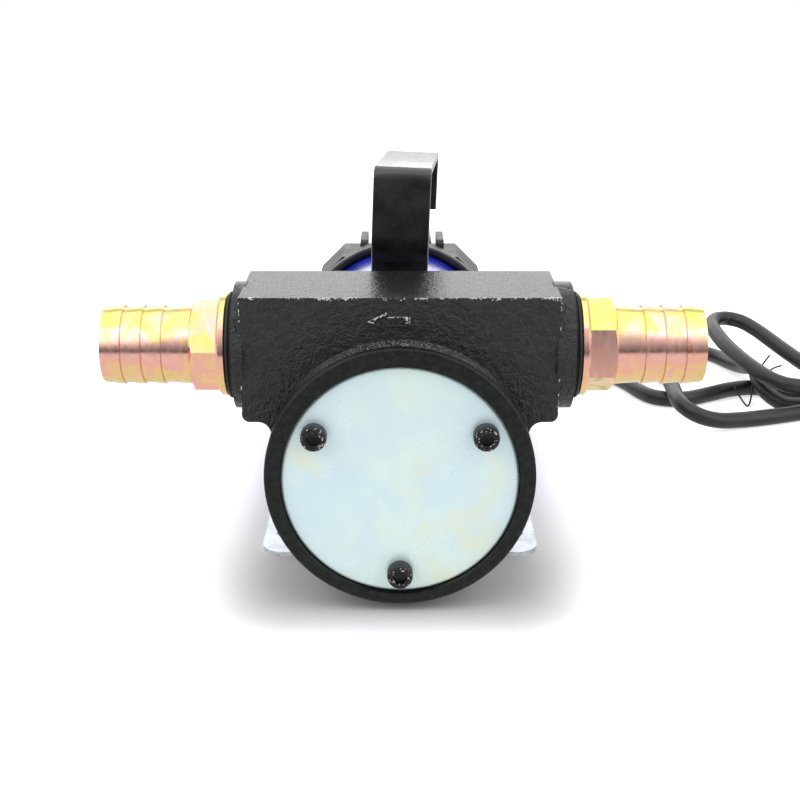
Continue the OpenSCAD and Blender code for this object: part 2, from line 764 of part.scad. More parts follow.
// Bypass valve in the inlet bore
module bypass_poppet() color([0.72, 0.60, 0.32]) on_ports() {
    rod_x(x_poppet, poppet_t, poppet_r);
    rod_x(x_poppet, poppet_t + bypass_spring_len + retainer_t + stem_over, stem_r);
}
module bypass_spring() color([0.6, 0.6, 0.62]) on_ports() difference() {
    rod_x(x_spring, bypass_spring_len, spring_r);
    rod_x(x_spring - cut, bypass_spring_len + 2 * cut, spring_r - spring_wire);
}
module bypass_retainer() color([0.72, 0.60, 0.32]) on_ports() difference() {
    rod_x(x_retainer, retainer_t, port_bore_r - fit);
    rod_x(x_retainer - cut, retainer_t + 2 * cut, stem_r + fit);
    hole_r = (port_bore_r - spring_r) / 2 - edge;
    for (i = [0:retainer_holes - 1]) rotate([45 + 360 / retainer_holes * i, 0, 0])
        translate([0, 0, spring_r + hole_r]) rod_x(x_retainer - cut, retainer_t + 2 * cut, hole_r);
}

// Motor housings
module shaft_seal() color([0.08, 0.08, 0.08]) on_axis()
    pipe(y_seal, seal_len, seal_r - fit, shaft_r + fit);
module tie_places() for (s = [-1, 1]) translate([s * tie_x, 0, s * tie_z]) children();
module motor_front_bell() color([0.16, 0.17, 0.18]) on_axis() difference() {
    union() {
        rod(y_head_back - pilot_depth + slack, pilot_depth, pilot_r - fit);
        rod(y_head_back, bell_flange_t, head_r);
        rod(y_head_back, bell_len, neck_r);
        rod(y_tube - bell_disc_t, bell_disc_t, tube_r);
        rod(y_tube - cut, spigot_len + cut, tube_in_r - fit);
    }
    rod(y_tube, spigot_len + cut, tube_in_r - spigot_wall);
    rod(y_tube - front_bearing_w, front_bearing_w + cut, front_bearing_r + fit);
    rod(y_head_back - pilot_depth - cut, bell_len + pilot_depth, shaft_r + cut);
    around(bolt_circle_r, bolt_angles) rod(y_head_back - cut, bell_flange_t + 2 * cut, m6_r + slack);
    tie_places() rod(y_tube - bell_disc_t + cut, bell_disc_t + spigot_len, m5_r + fit);
}
module flange_bolts() color([0.62, 0.63, 0.64]) on_axis() around(bolt_circle_r, bolt_angles) {
    hex_rod(y_head_back + bell_flange_t, m6_hex_h, m6_hex_af);
    rod(y_head_back - bolt_thread, bolt_thread + bell_flange_t + cut, m6_r);
}
module screw_columns(y0, length, shares, r) for (share = shares)
    translate([0, y0 + share * length, 0]) cylinder(h = tube_r + cut, r = r);
module motor_tube() color([0.12, 0.16, 0.75]) on_axis() difference() {
    pipe(y_tube, tube_len, tube_r, tube_in_r);
    screw_columns(leg_y, handle_foot, handle_screw_shares, m5_r + fit);
    mirror([0, 0, 1]) screw_columns(y_saddle, saddle_len, bracket_screw_shares, m5_r + fit);
}
module field_magnets() color([0.25, 0.24, 0.24]) on_axis()
    slab_xz(y_core - magnet_over, core_len + 2 * magnet_over) difference() {
        circle(tube_in_r - fit);
        circle(magnet_in_r);
        half = (180 - magnet_angle) / 2;
        for (s = [-1, 1]) polygon([[0, 0], [tube_r * tan(half), s * tube_r],
                                   [-tube_r * tan(half), s * tube_r]]);
    }
module rear_bell() color([0.15, 0.16, 0.17]) on_axis() difference() {
    union() {
        turned([[tube_r + fit, y_web_mid], [tube_r + fit, y_collar + collar_bevel],
                [tube_r + collar_bevel, y_collar], [collar_r - edge, y_collar],
                [collar_r, y_collar + edge], [collar_r, y_web_mid]]);
        rod(y_tube_end, web_t, collar_r);
        slab_xz(y_box - web_flange_t, web_flange_t) cut_corner_square(house_w, house_chamfer);
        rod(y_hub, hub_len + cut, rear_bearing_r + hub_wall);
        pipe(y_hub, hub_len + cut, tube_in_r - fit, tube_in_r - spigot_wall);
    }
    rod(y_hub - cut, rear_bearing_w + cut, rear_bearing_r + fit);
    tie_places() rod(y_hub - cut, hub_len + web_t + 2 * cut, m5_r + slack);
    for (sx = [-1, 1], sz = [-1, 1]) translate([sx * post_at, 0, sz * post_at])
        rod(y_box - web_t + cut, web_t, m4_r + fit);
    translate([lead_hole_x, 0, lead_hole_z]) rod(y_tube_end - cut, web_t + 2 * cut, lead_hole_r);
}
module tie_bolts() color([0.7, 0.7, 0.72]) on_axis() tie_places() {
    hex_rod(y_box, tie_head_h, tie_head_af);
    rod(y_tube - bell_disc_t + 2 * cut, y_box - y_tube + bell_disc_t - cut, m5_r);
}

// Bearings
function outer_ring_in(r_out, r_in) = r_out - ring_share * (r_out - r_in);
function inner_ring_out(r_out, r_in) = r_in + ring_share * (r_out - r_in);
function ball_r(r_out, r_in) = (outer_ring_in(r_out, r_in) - inner_ring_out(r_out, r_in)) / 2 - fit;
module bearing_balls_at(y, r_out, r_in) for (i = [0:ball_count - 1])
    rotate([0, 360 / ball_count * i, 0]) translate([0, y, (r_out + r_in) / 2])
        sphere(ball_r(r_out, r_in), $fn = 24);
module bearing_outer_rings() color([0.75, 0.76, 0.78]) on_axis() {
    pipe(y_tube - front_bearing_w, front_bearing_w, front_bearing_r,
         outer_ring_in(front_bearing_r, shaft_r));
    pipe(y_hub, rear_bearing_w, rear_bearing_r, outer_ring_in(rear_bearing_r, tail_r));
}
module bearing_inner_rings() color([0.75, 0.76, 0.78]) on_axis() {
    pipe(y_tube - front_bearing_w, front_bearing_w, inner_ring_out(front_bearing_r, shaft_r),
         shaft_r + fit);
    pipe(y_hub, rear_bearing_w, inner_ring_out(rear_bearing_r, tail_r), tail_r + fit);
}
module bearing_balls() color([0.85, 0.85, 0.87]) on_axis() {
    bearing_balls_at(y_tube - front_bearing_w / 2, front_bearing_r, shaft_r);
    bearing_balls_at(y_hub + rear_bearing_w / 2, rear_bearing_r, tail_r);
}

// Turning parts
module key_slot(grow) translate([-key_w / 2 - grow, y_chamber + (chamber_len - key_len) / 2,
                                 -shaft_r - key_w / 2 - grow])
    cube([key_w + 2 * grow, key_len, key_w + 2 * grow]);
module motor_shaft() color([0.7, 0.71, 0.73]) on_axis() difference() {
    union() {
        rod(y_shaft, y_tube - y_shaft + cut, shaft_r);
        rod(y_tube, y_hub - y_tube, core_r);
        rod(y_hub - cut, y_shaft_end - y_hub + cut, tail_r);
    }
    key_slot(fit);
}
module vane_slots(t, inset) for (i = [0:vane_count - 1]) rotate([0, 360 / vane_count * i, 0])
    translate([-t / 2, y_chamber + side_gap, rotor_r - vane_depth])
        cube([t, chamber_len - 2 * side_gap, vane_depth - inset]);
module pump_rotor() color([0.45, 0.45, 0.46]) on_axis() difference() {
    pipe(y_chamber + side_gap, chamber_len - 2 * side_gap, rotor_r, shaft_r + fit);
    for (i = [0:vane_count - 1]) rotate([0, 360 / vane_count * i, 0])
        translate([-vane_t / 2, y_chamber, rotor_r - vane_depth - fit])
            cube([vane_t, chamber_len, vane_depth + cut]);
    translate([-key_w / 2 - fit, y_chamber, -shaft_r - key_w / 2 - fit])
        cube([key_w + 2 * fit, chamber_len, key_w]);
}
module rotor_vanes() color([0.35, 0.27, 0.16]) on_axis() vane_slots(vane_t - 2 * fit, slack);
module rotor_key() color([0.6, 0.6, 0.6]) on_axis() key_slot(0);
module winding_slots(w, r0, r1, y, length) for (i = [0:slot_count - 1])
    rotate([0, 360 / slot_count * i, 0]) translate([-w / 2, y, r0]) cube([w, length, r1 - r0]);
module armature_core() color([0.42, 0.42, 0.43]) on_axis() difference() {
    pipe(y_core, core_len, armature_r, core_r + fit);
    winding_slots(slot_w, armature_r - slot_depth, armature_r + cut, y_core - cut,
                  core_len + 2 * cut);
}
module winding_head(y) turned([[winding_in_r, y], [winding_r - winding_round, y],
    [winding_r, y + winding_round], [winding_r, y + winding_over - winding_round],
    [winding_r - winding_round, y + winding_over], [winding_in_r, y + winding_over]]);
module armature_windings() color([0.72, 0.36, 0.14]) on_axis() {
    winding_head(y_core - winding_over);
    winding_head(y_core + core_len);
    winding_slots(slot_w - 2 * fit, armature_r - slot_depth + fit, winding_r - winding_round,
                  y_core - cut, core_len + 2 * cut);
}
module commutator() color([0.74, 0.42, 0.22]) on_axis() difference() {
    union() {
        pipe(y_commutator, commutator_len, commutator_r, core_r + fit);
        pipe(y_commutator, riser_t, commutator_r + riser_t, core_r + fit);
    }
    for (i = [0:slot_count - 1]) rotate([0, 360 / slot_count * (i + 0.5), 0])
        translate([-groove_w / 2, y_commutator - cut, commutator_r - cut])
            cube([groove_w, commutator_len + 2 * cut, riser_t + 2 * cut]);
}

// Brush gear
module brush_ring() color([0.45, 0.30, 0.16]) on_axis() difference() {
    pipe(y_ring, plate_ring_t, tube_in_r - slack, commutator_r + ring_gap);
    tie_places() rod(y_ring - cut, plate_ring_t + 2 * cut, m5_r + slack);
    translate([lead_hole_x, 0, lead_hole_z]) rod(y_ring - cut, plate_ring_t + 2 * cut, lead_hole_r);
}
module brush_sides() for (s = [0, 1]) mirror([s, 0, 0]) children();
module brush_box(grow, x0, x1) translate([x0, brush_y - brush_half - grow, -brush_h - grow])
    cube([x1 - x0, 2 * (brush_half + grow), 2 * (brush_h + grow)]);
brush_x = commutator_r + fit;
holder_x = commutator_r + holder_gap;
foot_x = commutator_r + holder_foot;
holder_end = holder_x + holder_len;
module brush_holders() color([0.75, 0.62, 0.30]) on_axis() brush_sides() difference() {
    union() {
        brush_box(holder_wall, holder_x, holder_end);
        translate([foot_x, brush_y, -brush_h - holder_wall])
            cube([holder_end - foot_x, y_ring - brush_y, 2 * (brush_h + holder_wall)]);
    }
    brush_box(fit, holder_x - cut, holder_end - holder_wall);
}
module carbon_brushes() color([0.14, 0.14, 0.15]) on_axis() brush_sides() difference() {
    brush_box(0, commutator_r - cut, brush_x + brush_len);
    rod(brush_y - commutator_len, 2 * commutator_len, brush_x);
}
module brush_springs() color([0.7, 0.7, 0.72]) on_axis() brush_sides() {
    x0 = brush_x + brush_len;
    translate([0, brush_y, 0]) difference() {
        rod_x(x0, holder_end - holder_wall - x0, brush_h - 2 * fit);
        rod_x(x0 - cut, holder_end - x0 + cut, brush_h - edge);
    }
}

// Switch box
module switch_place() on_axis() translate([switch_shift, y_switch, house_half]) children();
module box_columns() for (sx = [-1, 1], sz = [-1, 1])
    translate([sx * post_at, 0, sz * post_at]) children();
module ear_outline() {
    h = ear_h + house_wall / 2;
    square([ear_len, 2 * (h - ear_r)], center = true);
    square([ear_len - 2 * ear_r, 2 * h], center = true);
    for (s = [-1, 1]) translate([s * (ear_len / 2 - ear_r), h - ear_r]) circle(ear_r);
}
module guard_walls() intersection() {
    for (s = [-1, 1])
        slab_yz(s * (ear_gap + ear_t) / 2 - ear_t / 2, ear_t)
            translate([0, -house_wall / 2]) ear_outline();
    translate([-house_half, -house_depth, -house_wall / 2])
        cube([house_w, 2 * house_depth, ear_h + house_wall]);
}
module switch_box() color([0.15, 0.16, 0.17]) difference() {
    union() {
        on_axis() difference() {
            slab_xz(y_box, house_depth) cut_corner_square(house_w, house_chamfer);
            slab_xz(y_box - cut, house_depth - house_wall + cut)
                cut_corner_square(house_w - 2 * house_wall, inner_chamfer);
        }
        on_axis() box_columns() rod(y_box, house_depth - house_wall / 2, post_r);
        switch_place() guard_walls();
    }
    on_axis() box_columns() rod(y_box - cut, house_depth + 2 * cut, m4_r + slack);
    switch_place() translate([-body_w / 2 - fit, -body_l / 2 - fit, -house_wall - cut])
        cube([body_w + 2 * fit, body_l + 2 * fit, house_wall + 2 * cut]);
    translate([gland_x, 0, gland_z]) rod(y_box_end - house_wall - cut, house_wall + 2 * cut,
                                         gland_thread_r + fit);
}
module box_screws() color([0.65, 0.66, 0.68]) on_axis() box_columns() {
    rod(y_box_end, m4_head_h, m4_head_r);
    rod(y_box - web_flange_t, house_depth + web_flange_t + cut, m4_r);
}
module rectifier() color([0.12, 0.12, 0.13]) on_axis()
    translate([rectifier_x - rectifier_w / 2, y_box_end - house_wall - rectifier_t,
               rectifier_z - rectifier_w / 2])
        cube([rectifier_w, rectifier_t, rectifier_w]);

// Rocker switch under its rain boot
module switch_body() color([0.07, 0.07, 0.07]) switch_place() difference() {
    union() {
        translate([-bezel_w / 2, -bezel_l / 2, 0]) cube([bezel_w, bezel_l, bezel_t]);
        translate([-body_w / 2, -body_l / 2, -body_depth]) cube([body_w, body_l, body_depth + cut]);
    }
    translate([-rocker_r - slack, -rocker_l / 2 - slack, pivot_rise - rocker_floor - 4 * cut])
        cube([2 * (rocker_r + slack), rocker_l + 2 * slack, rocker_floor + bezel_t + 5 * cut]);
    translate([0, -body_l / 2 - cut, pivot_rise]) rotate([-90, 0, 0])
        cylinder(h = body_l + 2 * cut, r = pivot_r + fit);
}
module rocker_outline() intersection() {
    circle(rocker_r);
    polygon([[-rocker_r, -rocker_floor], [rocker_r, -rocker_floor],
             [rocker_r, rocker_top + rocker_r * tan(rocker_tilt)], [0, rocker_top],
             [-rocker_r, rocker_top + rocker_r * tan(rocker_tilt)]]);
}
module switch_rocker() color([0.75, 0.08, 0.06]) switch_place() translate([0, 0, pivot_rise])
    rotate([0, -rocker_tilt, 0]) {
        slab_xz(-rocker_l / 2, rocker_l) rocker_outline();
        rod(-body_l / 2 + slack, body_l - 2 * slack, pivot_r);
    }
module switch_terminals() color([0.80, 0.68, 0.36]) switch_place() for (s = [-1, 1])
    translate([s * terminal_x - terminal_t / 2, -terminal_w / 2, -body_depth - terminal_len])
        cube([terminal_t, terminal_w, terminal_len]);
module rain_boot() color([0.9, 0.93, 0.93, 0.5]) switch_place() {
    w = bezel_w + 2 * (boot_gap + boot_wall);
    l = bezel_l + 2 * (boot_gap + boot_wall);
    difference() {
        linear_extrude(boot_h) rounded_rect(w, l, boot_r);
        translate([0, 0, -cut]) linear_extrude(boot_h - boot_wall + cut)
            rounded_rect(w - 2 * boot_wall, l - 2 * boot_wall, edge);
    }
}

// Cord gland
module on_gland() translate([gland_x, 0, gland_z]) children();
module gland_body() color([0.08, 0.08, 0.08]) on_gland() difference() {
    union() {
        hex_rod(y_box_end, gland_hex_t, gland_hex_af);
        rod(y_box_end - house_wall - gland_reach, house_wall + gland_reach + gland_hex_t + gland_neck,
            gland_thread_r);
    }
    rod(y_box_end - house_wall - gland_reach - cut,
        house_wall + gland_reach + gland_hex_t + gland_neck + 2 * cut, cord_r + slack);
}
module gland_locknut() color([0.08, 0.08, 0.08]) on_gland() difference() {
    hex_rod(y_box_end - house_wall - locknut_t, locknut_t, gland_hex_af);
    rod(y_box_end - house_wall - locknut_t - cut, locknut_t + 2 * cut, gland_thread_r + fit);
}
module gland_cap() color([0.08, 0.08, 0.08]) on_gland() difference() {
    turned([[0, y_gland], [cap_r, y_gland], [cap_r, y_gland + cap_len / 2],
            [cap_end_r, y_cap_end], [0, y_cap_end]]);
    rod(y_gland - cut, y_cap_end - y_gland - cap_lip + cut, gland_thread_r + fit);
    rod(y_gland, cap_len + cut, relief_root_r + fit);
}
module cord_relief() color([0.07, 0.07, 0.07]) on_gland() difference() {
    turned([[0, y_relief], [gland_thread_r, y_relief], [gland_thread_r, y_cap_end - cap_lip - fit],
            [relief_root_r, y_cap_end - cap_lip - fit], [relief_root_r, y_cap_end + fit],
            [relief_wide_r, y_cap_end + fit], [relief_tip_r, y_exit], [0, y_exit]]);
    rod(y_relief - cut, y_exit - y_relief + 2 * cut, cord_r + fit);
}

// Leads inside the switch box, from gland to switch to rectifier to brush holder
function lead_curve(from, ahead, behind, to) =
    [for (k = [0:lead_steps]) bezier(from, ahead, behind, to, k / lead_steps)];
module inner_leads() color([0.5, 0.2, 0.12]) on_axis() {
    under = house_half - body_depth - terminal_len - lead_r;
    y_gland_end = y_box_end - house_wall - gland_reach;
    y_front = y_box_end - house_wall - rectifier_t - slack;
    reach = [0, 4 * lead_r, 0];
    gland_end = [gland_x, y_gland_end + lead_r, -gland_drop];
    switch_in = [switch_shift + terminal_x, y_switch, under];
    switch_out = [switch_shift - terminal_x, y_switch, under];
    block_in = [rectifier_x, y_front, rectifier_z];
    block_out = [rectifier_x - rectifier_w / 4, y_front, rectifier_z];
    web_hole = [lead_hole_x, y_box + lead_r, lead_hole_z];
    ring_hole = [lead_hole_x, y_ring - lead_r, lead_hole_z];
    rise = [0, 0, -6 * lead_r];
    sweep_tube(lead_curve(gland_end, gland_end - reach, switch_in + rise, switch_in), lead_r, 6);
    sweep_tube(lead_curve(block_in, block_in - reach, switch_out + rise, switch_out), lead_r, 6);
    sweep_tube(concat(lead_curve(block_out, block_out - 2 * reach, web_hole + 2 * reach, web_hole),
                      [ring_hole]), lead_r, 6);
}

// Mains lead
module power_cord() color([0.09, 0.09, 0.09]) sweep_tube(cord_route, cord_r, cord_sides);
module cord_hank() color([0.09, 0.09, 0.09]) sweep_tube(hank_route, cord_r, cord_sides);
module cord_tie() color([0.06, 0.06, 0.06]) translate([tie_at_x - tie_w / 2, tie_y, tie_z0])
    slab_yz(0, tie_w) difference() {
        rounded_rect(2 * (tie_half_y + tie_wall), 2 * (tie_half_z + tie_wall), tie_corner + tie_wall);
        rounded_rect(2 * tie_half_y, 2 * tie_half_z, tie_corner);
    }
plug_z = plug_d / 2 + plug_lift;
y_plug = plug_y + plug_relief_len;
module on_plug() translate([plug_x, 0, plug_z]) children();
module mains_plug() color([0.07, 0.07, 0.07]) on_plug()
    turned([[0, plug_y], [relief_tip_r, plug_y], [plug_neck_r, y_plug],
            [plug_d / 2, y_plug + plug_shoulder_share * plug_len],
            [plug_d / 2, y_plug + plug_len - edge], [plug_d / 2 - edge, y_plug + plug_len],
            [0, y_plug + plug_len]]);
module plug_pins() color([0.82, 0.74, 0.45]) on_plug() for (s = [-1, 1])
    translate([s * pin_gap / 2, 0, 0]) turned([[0, y_plug + plug_len], [pin_r, y_plug + plug_len],
        [pin_r, y_plug + plug_len + pin_len - pin_r / 2],
        [pin_r / 2, y_plug + plug_len + pin_len], [0, y_plug + plug_len + pin_len]]);

// Foot
module bracket_saddle() on_axis() slab_xz(y_saddle, saddle_len) difference() {
    union() {
        intersection() {
            circle(saddle_r);
            polygon([[0, 0], [saddle_r * tan(saddle_angle), -saddle_r],
                     [saddle_r * tan(saddle_angle), -axis_z], [-saddle_r * tan(saddle_angle), -axis_z],
                     [-saddle_r * tan(saddle_angle), -saddle_r]]);
        }
        for (s = [-1, 1]) translate([s * leg_x - bracket_t / 2, -axis_z])
            square([bracket_t, axis_z - tube_r * cos(saddle_angle)]);
    }
    circle(saddle_in_r);
}
module foot_bracket() color([0.78, 0.79, 0.80]) difference() {
    union() {
        difference() {
            linear_extrude(bracket_t) rounded_rect(bracket_w, bracket_len, bracket_r);
            translate([-leg_x + bracket_t / 2, -bracket_len, -cut])
                cube([2 * leg_x - bracket_t, 2 * bracket_len, bracket_t + 2 * cut]);
        }
        bracket_saddle();
    }
    for (sx = [-1, 1], sy = [-1, 1]) translate([sx * hole_x / 2, sy * hole_y / 2, -cut])
        cylinder(h = bracket_t + 2 * cut, r = hole_d / 2);
    on_axis() mirror([0, 0, 1]) for (share = bracket_screw_shares)
        translate([0, y_saddle + share * saddle_len, 0]) cylinder(h = axis_z, r = m5_r + fit);
}
module bracket_screws() color([0.65, 0.66, 0.68]) on_axis() mirror([0, 0, 1])
    for (share = bracket_screw_shares) translate([0, y_saddle + share * saddle_len, 0]) {
        translate([0, 0, saddle_r]) cylinder(h = m5_head_h, r = m5_head_r);
        translate([0, 0, tube_in_r - screw_reach])
            cylinder(h = saddle_r - tube_in_r + screw_reach + cut, r = m5_r);
    }

// Carry handle
leg_top = tube_r + leg_top_share * handle_rise;
bend_top = tube_r + bend_top_share * handle_rise;
bend_mid = (leg_top + bend_top) / 2;
roll_z = tube_r + roll_share * handle_rise;
y_front = leg_y - handle_lean;
z_front = handle_top - handle_t / 2;
handle_path = concat([[leg_y, tube_r + slack]],
    [for (k = [0:curve_steps]) bezier([leg_y, leg_top], [leg_y, bend_mid], [y_front, bend_mid],
                                      [y_front, bend_top], k / curve_steps)],
    [[y_front, z_front], [y_front + handle_grip, z_front - handle_fall],
     [y_front + handle_grip, z_front - handle_fall - handle_lip]]);
module carry_handle() color([0.12, 0.12, 0.13]) on_axis() difference() {
    union() {
        translate([0, leg_y, roll_z]) rotate([0, handle_roll, -handle_yaw])
            translate([0, -leg_y, -roll_z])
                slab_yz(-handle_w / 2, handle_w) polygon(strip_outline(handle_path, handle_t));
        intersection() {
            pipe(leg_y - handle_t / 2, handle_foot, saddle_top_r, tube_r + fit);
            translate([-handle_w / 2, leg_y - handle_t, 0])
                cube([handle_w, handle_foot + handle_t, saddle_top_r + cut]);
        }
    }
    for (share = handle_screw_shares) translate([0, leg_y + share * handle_foot, 0])
        cylinder(h = saddle_top_r + cut, r = m5_r + fit);
}
module handle_screws() color([0.65, 0.66, 0.68]) on_axis() for (share = handle_screw_shares)
    translate([0, leg_y + share * handle_foot, 0]) {
        translate([0, 0, saddle_top_r]) cylinder(h = m5_head_h, r = m5_head_r);
        translate([0, 0, tube_in_r - screw_reach])
            cylinder(h = saddle_top_r - tube_in_r + screw_reach + cut, r = m5_r);
    }

pump_casting();
cover_plate();
cover_gasket();
cover_screws();
hose_tail_inlet();
hose_tail_outlet();
port_washers();
bypass_poppet();
bypass_spring();
bypass_retainer();
shaft_seal();
motor_front_bell();
flange_bolts();
motor_tube();
field_magnets();
rear_bell();
tie_bolts();
bearing_outer_rings();
bearing_inner_rings();
bearing_balls();
motor_shaft();
pump_rotor();
rotor_vanes();
rotor_key();
armature_core();
armature_windings();
commutator();
brush_ring();
brush_holders();
carbon_brushes();
brush_springs();
switch_box();
box_screws();
rectifier();
inner_leads();
switch_body();
switch_rocker();
switch_terminals();
rain_boot();
gland_body();
gland_locknut();
gland_cap();
cord_relief();
power_cord();
cord_hank();
cord_tie();
mains_plug();
plug_pins();
foot_bracket();
bracket_screws();
carry_handle();
handle_screws();
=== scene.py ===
"""Looks of an electric diesel transfer pump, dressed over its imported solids.

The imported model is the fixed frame: origin on the floor at the centre of the foot's holes, +X to
the inlet side, +Y from the pump's cover to the switch box, +Z up. All lengths are in metres.
"""
from __future__ import annotations

import json
import logging
import math
from dataclasses import dataclass
from enum import Enum
from typing import Callable, Sequence, Union

import bmesh
import bpy
from mathutils import Matrix, Vector

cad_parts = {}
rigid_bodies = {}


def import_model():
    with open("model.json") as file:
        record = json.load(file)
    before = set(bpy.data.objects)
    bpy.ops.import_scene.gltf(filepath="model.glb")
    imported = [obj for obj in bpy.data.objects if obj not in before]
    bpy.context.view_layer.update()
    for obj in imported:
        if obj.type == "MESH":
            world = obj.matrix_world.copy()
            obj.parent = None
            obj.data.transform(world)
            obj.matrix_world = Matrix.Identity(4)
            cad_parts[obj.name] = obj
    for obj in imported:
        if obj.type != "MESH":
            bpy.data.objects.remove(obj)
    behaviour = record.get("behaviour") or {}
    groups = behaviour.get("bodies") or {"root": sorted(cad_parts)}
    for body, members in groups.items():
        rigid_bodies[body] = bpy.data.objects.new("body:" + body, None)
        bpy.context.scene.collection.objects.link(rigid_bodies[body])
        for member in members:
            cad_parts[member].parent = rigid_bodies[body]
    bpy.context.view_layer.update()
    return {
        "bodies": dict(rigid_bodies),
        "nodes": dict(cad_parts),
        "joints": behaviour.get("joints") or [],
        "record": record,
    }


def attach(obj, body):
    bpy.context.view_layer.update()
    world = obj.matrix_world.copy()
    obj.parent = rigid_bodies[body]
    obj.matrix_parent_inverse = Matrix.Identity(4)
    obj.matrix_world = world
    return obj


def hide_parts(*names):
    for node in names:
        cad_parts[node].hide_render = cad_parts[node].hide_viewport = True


LOG = logging.getLogger("transfer_pump")
MM = 0.001
HOUSING = "housing"
WHITE = (1.0, 1.0, 1.0, 1.0)
AXIS_Z = 55 * MM
SCREW_FACE_Y = -114 * MM

Socket = bpy.types.NodeSocket
Triple = tuple[float, float, float]
Outline = Callable[[float], float]
Radius = Union[float, Outline]
Stage = tuple[float, Radius]


# Shapes


class Axis(Enum):
    """The row axis that a turned piece stands on."""

    X = "x"
    Y = "y"
    Z = "z"

    def place(self, height: float, radius: float, angle: float) -> Vector:
        """Puts a point at a height on the axis, a radius from it and an angle about it."""
        a, b = radius * math.cos(angle), radius * math.sin(angle)
        if self is Axis.X:
            return Vector((height, a, b))
        if self is Axis.Y:
            return Vector((a, height, b))
        return Vector((a, b, height))


class Shape:
    """One mesh in the making: points and faces gathered from several forms."""

    def __init__(self) -> None:
        """Starts with no points and no faces."""
        self.points: list[Vector] = []
        self.faces: list[tuple[int, ...]] = []

    def add_rings(self, rings: Sequence[Sequence[Vector]], closed: bool = False) -> None:
        """Joins equal rings of points into a skin.

        Args:
            rings: the rings in order, each with the same number of points.
            closed: True joins the last ring to the first; otherwise both ends get a cap.
        """
        base, count = len(self.points), len(rings[0])
        for ring in rings:
            self.points.extend(ring)
        last = len(rings) if closed else len(rings) - 1
        for i in range(last):
            a, b = base + i * count, base + (i + 1) % len(rings) * count
            for k in range(count):
                n = (k + 1) % count
                self.faces.append((a + k, a + n, b + n, b + k))
        if not closed:
            self.faces.append(tuple(base + k for k in range(count)))
            self.faces.append(tuple(base + (len(rings) - 1) * count + k for k in range(count)))

    def turn(self, stages: Sequence[Stage], axis: Axis, centre: Vector, count: int,
             closed: bool = False) -> "Shape":
        """Turns a profile about an axis.

        Args:
            stages: heights along the axis, each with a radius or a radius by angle.
            axis: the row axis to turn about.
            centre: a point of the axis, from which heights are counted.
            count: points in each ring.
            closed: True for a ring-shaped piece whose profile closes on itself.

        Returns:
            The shape itself, so that calls can follow one another.
        """
        angles = [2 * math.pi * k / count for k in range(count)]
        self.add_rings([[centre + axis.place(height, radius(a) if callable(radius) else radius, a)
                         for a in angles] for height, radius in stages], closed)
        return self

    def sweep(self, path: Sequence[Vector], section: Sequence[tuple[float, float]],
              side: Vector) -> "Shape":
        """Sweeps a flat section along a path.

        Args:
            path: the centre line.
            section: points as (distance along side, distance along the path's normal).
            side: the direction across the path, the same all the way.

        Returns:
            The shape itself.
        """
        rings = []
        for i, point in enumerate(path):
            before, after = path[max(i - 1, 0)], path[min(i + 1, len(path) - 1)]
            normal = side.cross((after - before).normalized()).normalized()
            rings.append([point + side * a + normal * b for a, b in section])
        self.add_rings(rings)
        return self

    def make(self, name: str, crease: float = 35.0) -> bpy.types.Object:
        """Makes the object, with smooth faces and sharp edges above the crease angle."""
        mesh = bpy.data.meshes.new(name)
        mesh.from_pydata([tuple(p) for p in self.points], [], self.faces)
        work = bmesh.new()
        work.from_mesh(mesh)
        bmesh.ops.remove_doubles(work, verts=work.verts, dist=1e-7)
        bmesh.ops.recalc_face_normals(work, faces=work.faces)
        work.to_mesh(mesh)
        work.free()
        mesh.shade_smooth()
        mesh.set_sharp_from_angle(angle=math.radians(crease))
        made = bpy.data.objects.new(name, mesh)
        bpy.context.scene.collection.objects.link(made)
        return made


def hexagon(across_flats: float) -> Outline:
    """Radius of a hexagon by angle, for turned pieces."""
    sixth = math.pi / 3
    return lambda a: across_flats / 2 / math.cos(a % sixth - sixth / 2)


def plus_sign(arm: float, half_width: float) -> Outline:
    """Radius of a cross recess by angle, for turned pieces."""
    def radius(a: float) -> float:
        """Distance from the centre to the cross's edge."""
        c, s = abs(math.cos(a)), abs(math.sin(a))
        large, small = max(c, s), min(c, s)
        return min(arm / large, half_width / max(small, 1e-6))
    return radius


def soft_box(half_x: float, half_y: float, power: float = 5.0) -> Outline:
    """Radius of a rectangle with round corners by angle."""
    def radius(a: float) -> float:
        """Distance from the centre to the box's edge."""
        c, s = abs(math.cos(a)) / half_x, abs(math.sin(a)) / half_y
        return (c ** power + s ** power) ** (-1 / power)
    return radius


def ribs(mean: float, height: float, count: int) -> Outline:
    """Radius of a ribbed or knurled outline by angle."""
    return lambda a: mean + height * math.cos(count * a)


def stages_of(rows: Sequence[Stage], start: float = 0.0) -> list[Stage]:
    """Turns a profile in millimetres into metres.

    Args:
        rows: heights, each with a radius; a radius by angle is in metres already.
        start: the height, in metres, from which the rows count.

    Returns:
        The stages of a turned piece.
    """
    return [(start + high * MM, r if callable(r) else r * MM) for high, r in rows]


def points_of(rows: Sequence[Triple]) -> list[Vector]:
    """Turns rows of millimetres into points."""
    return [Vector([c * MM for c in row]) for row in rows]


def smooth_path(points: Sequence[Vector], steps: int) -> list[Vector]:
    """Runs a smooth curve through points.

    Args:
        points: the points that the curve passes.
        steps: how many pieces each stretch is cut into.

    Returns:
        The curve as closely spaced points.
    """
    ends = [points[0] * 2 - points[1], *points, points[-1] * 2 - points[-2]]
    out = []
    for a, b, c, d in zip(ends, ends[1:], ends[2:], ends[3:]):
        for k in range(steps):
            t = k / steps
            out.append(0.5 * (2 * b + (c - a) * t + (2 * a - 5 * b + 4 * c - d) * t * t
                              + (3 * b - a - 3 * c + d) * t ** 3))
    return [*out, points[-1].copy()]


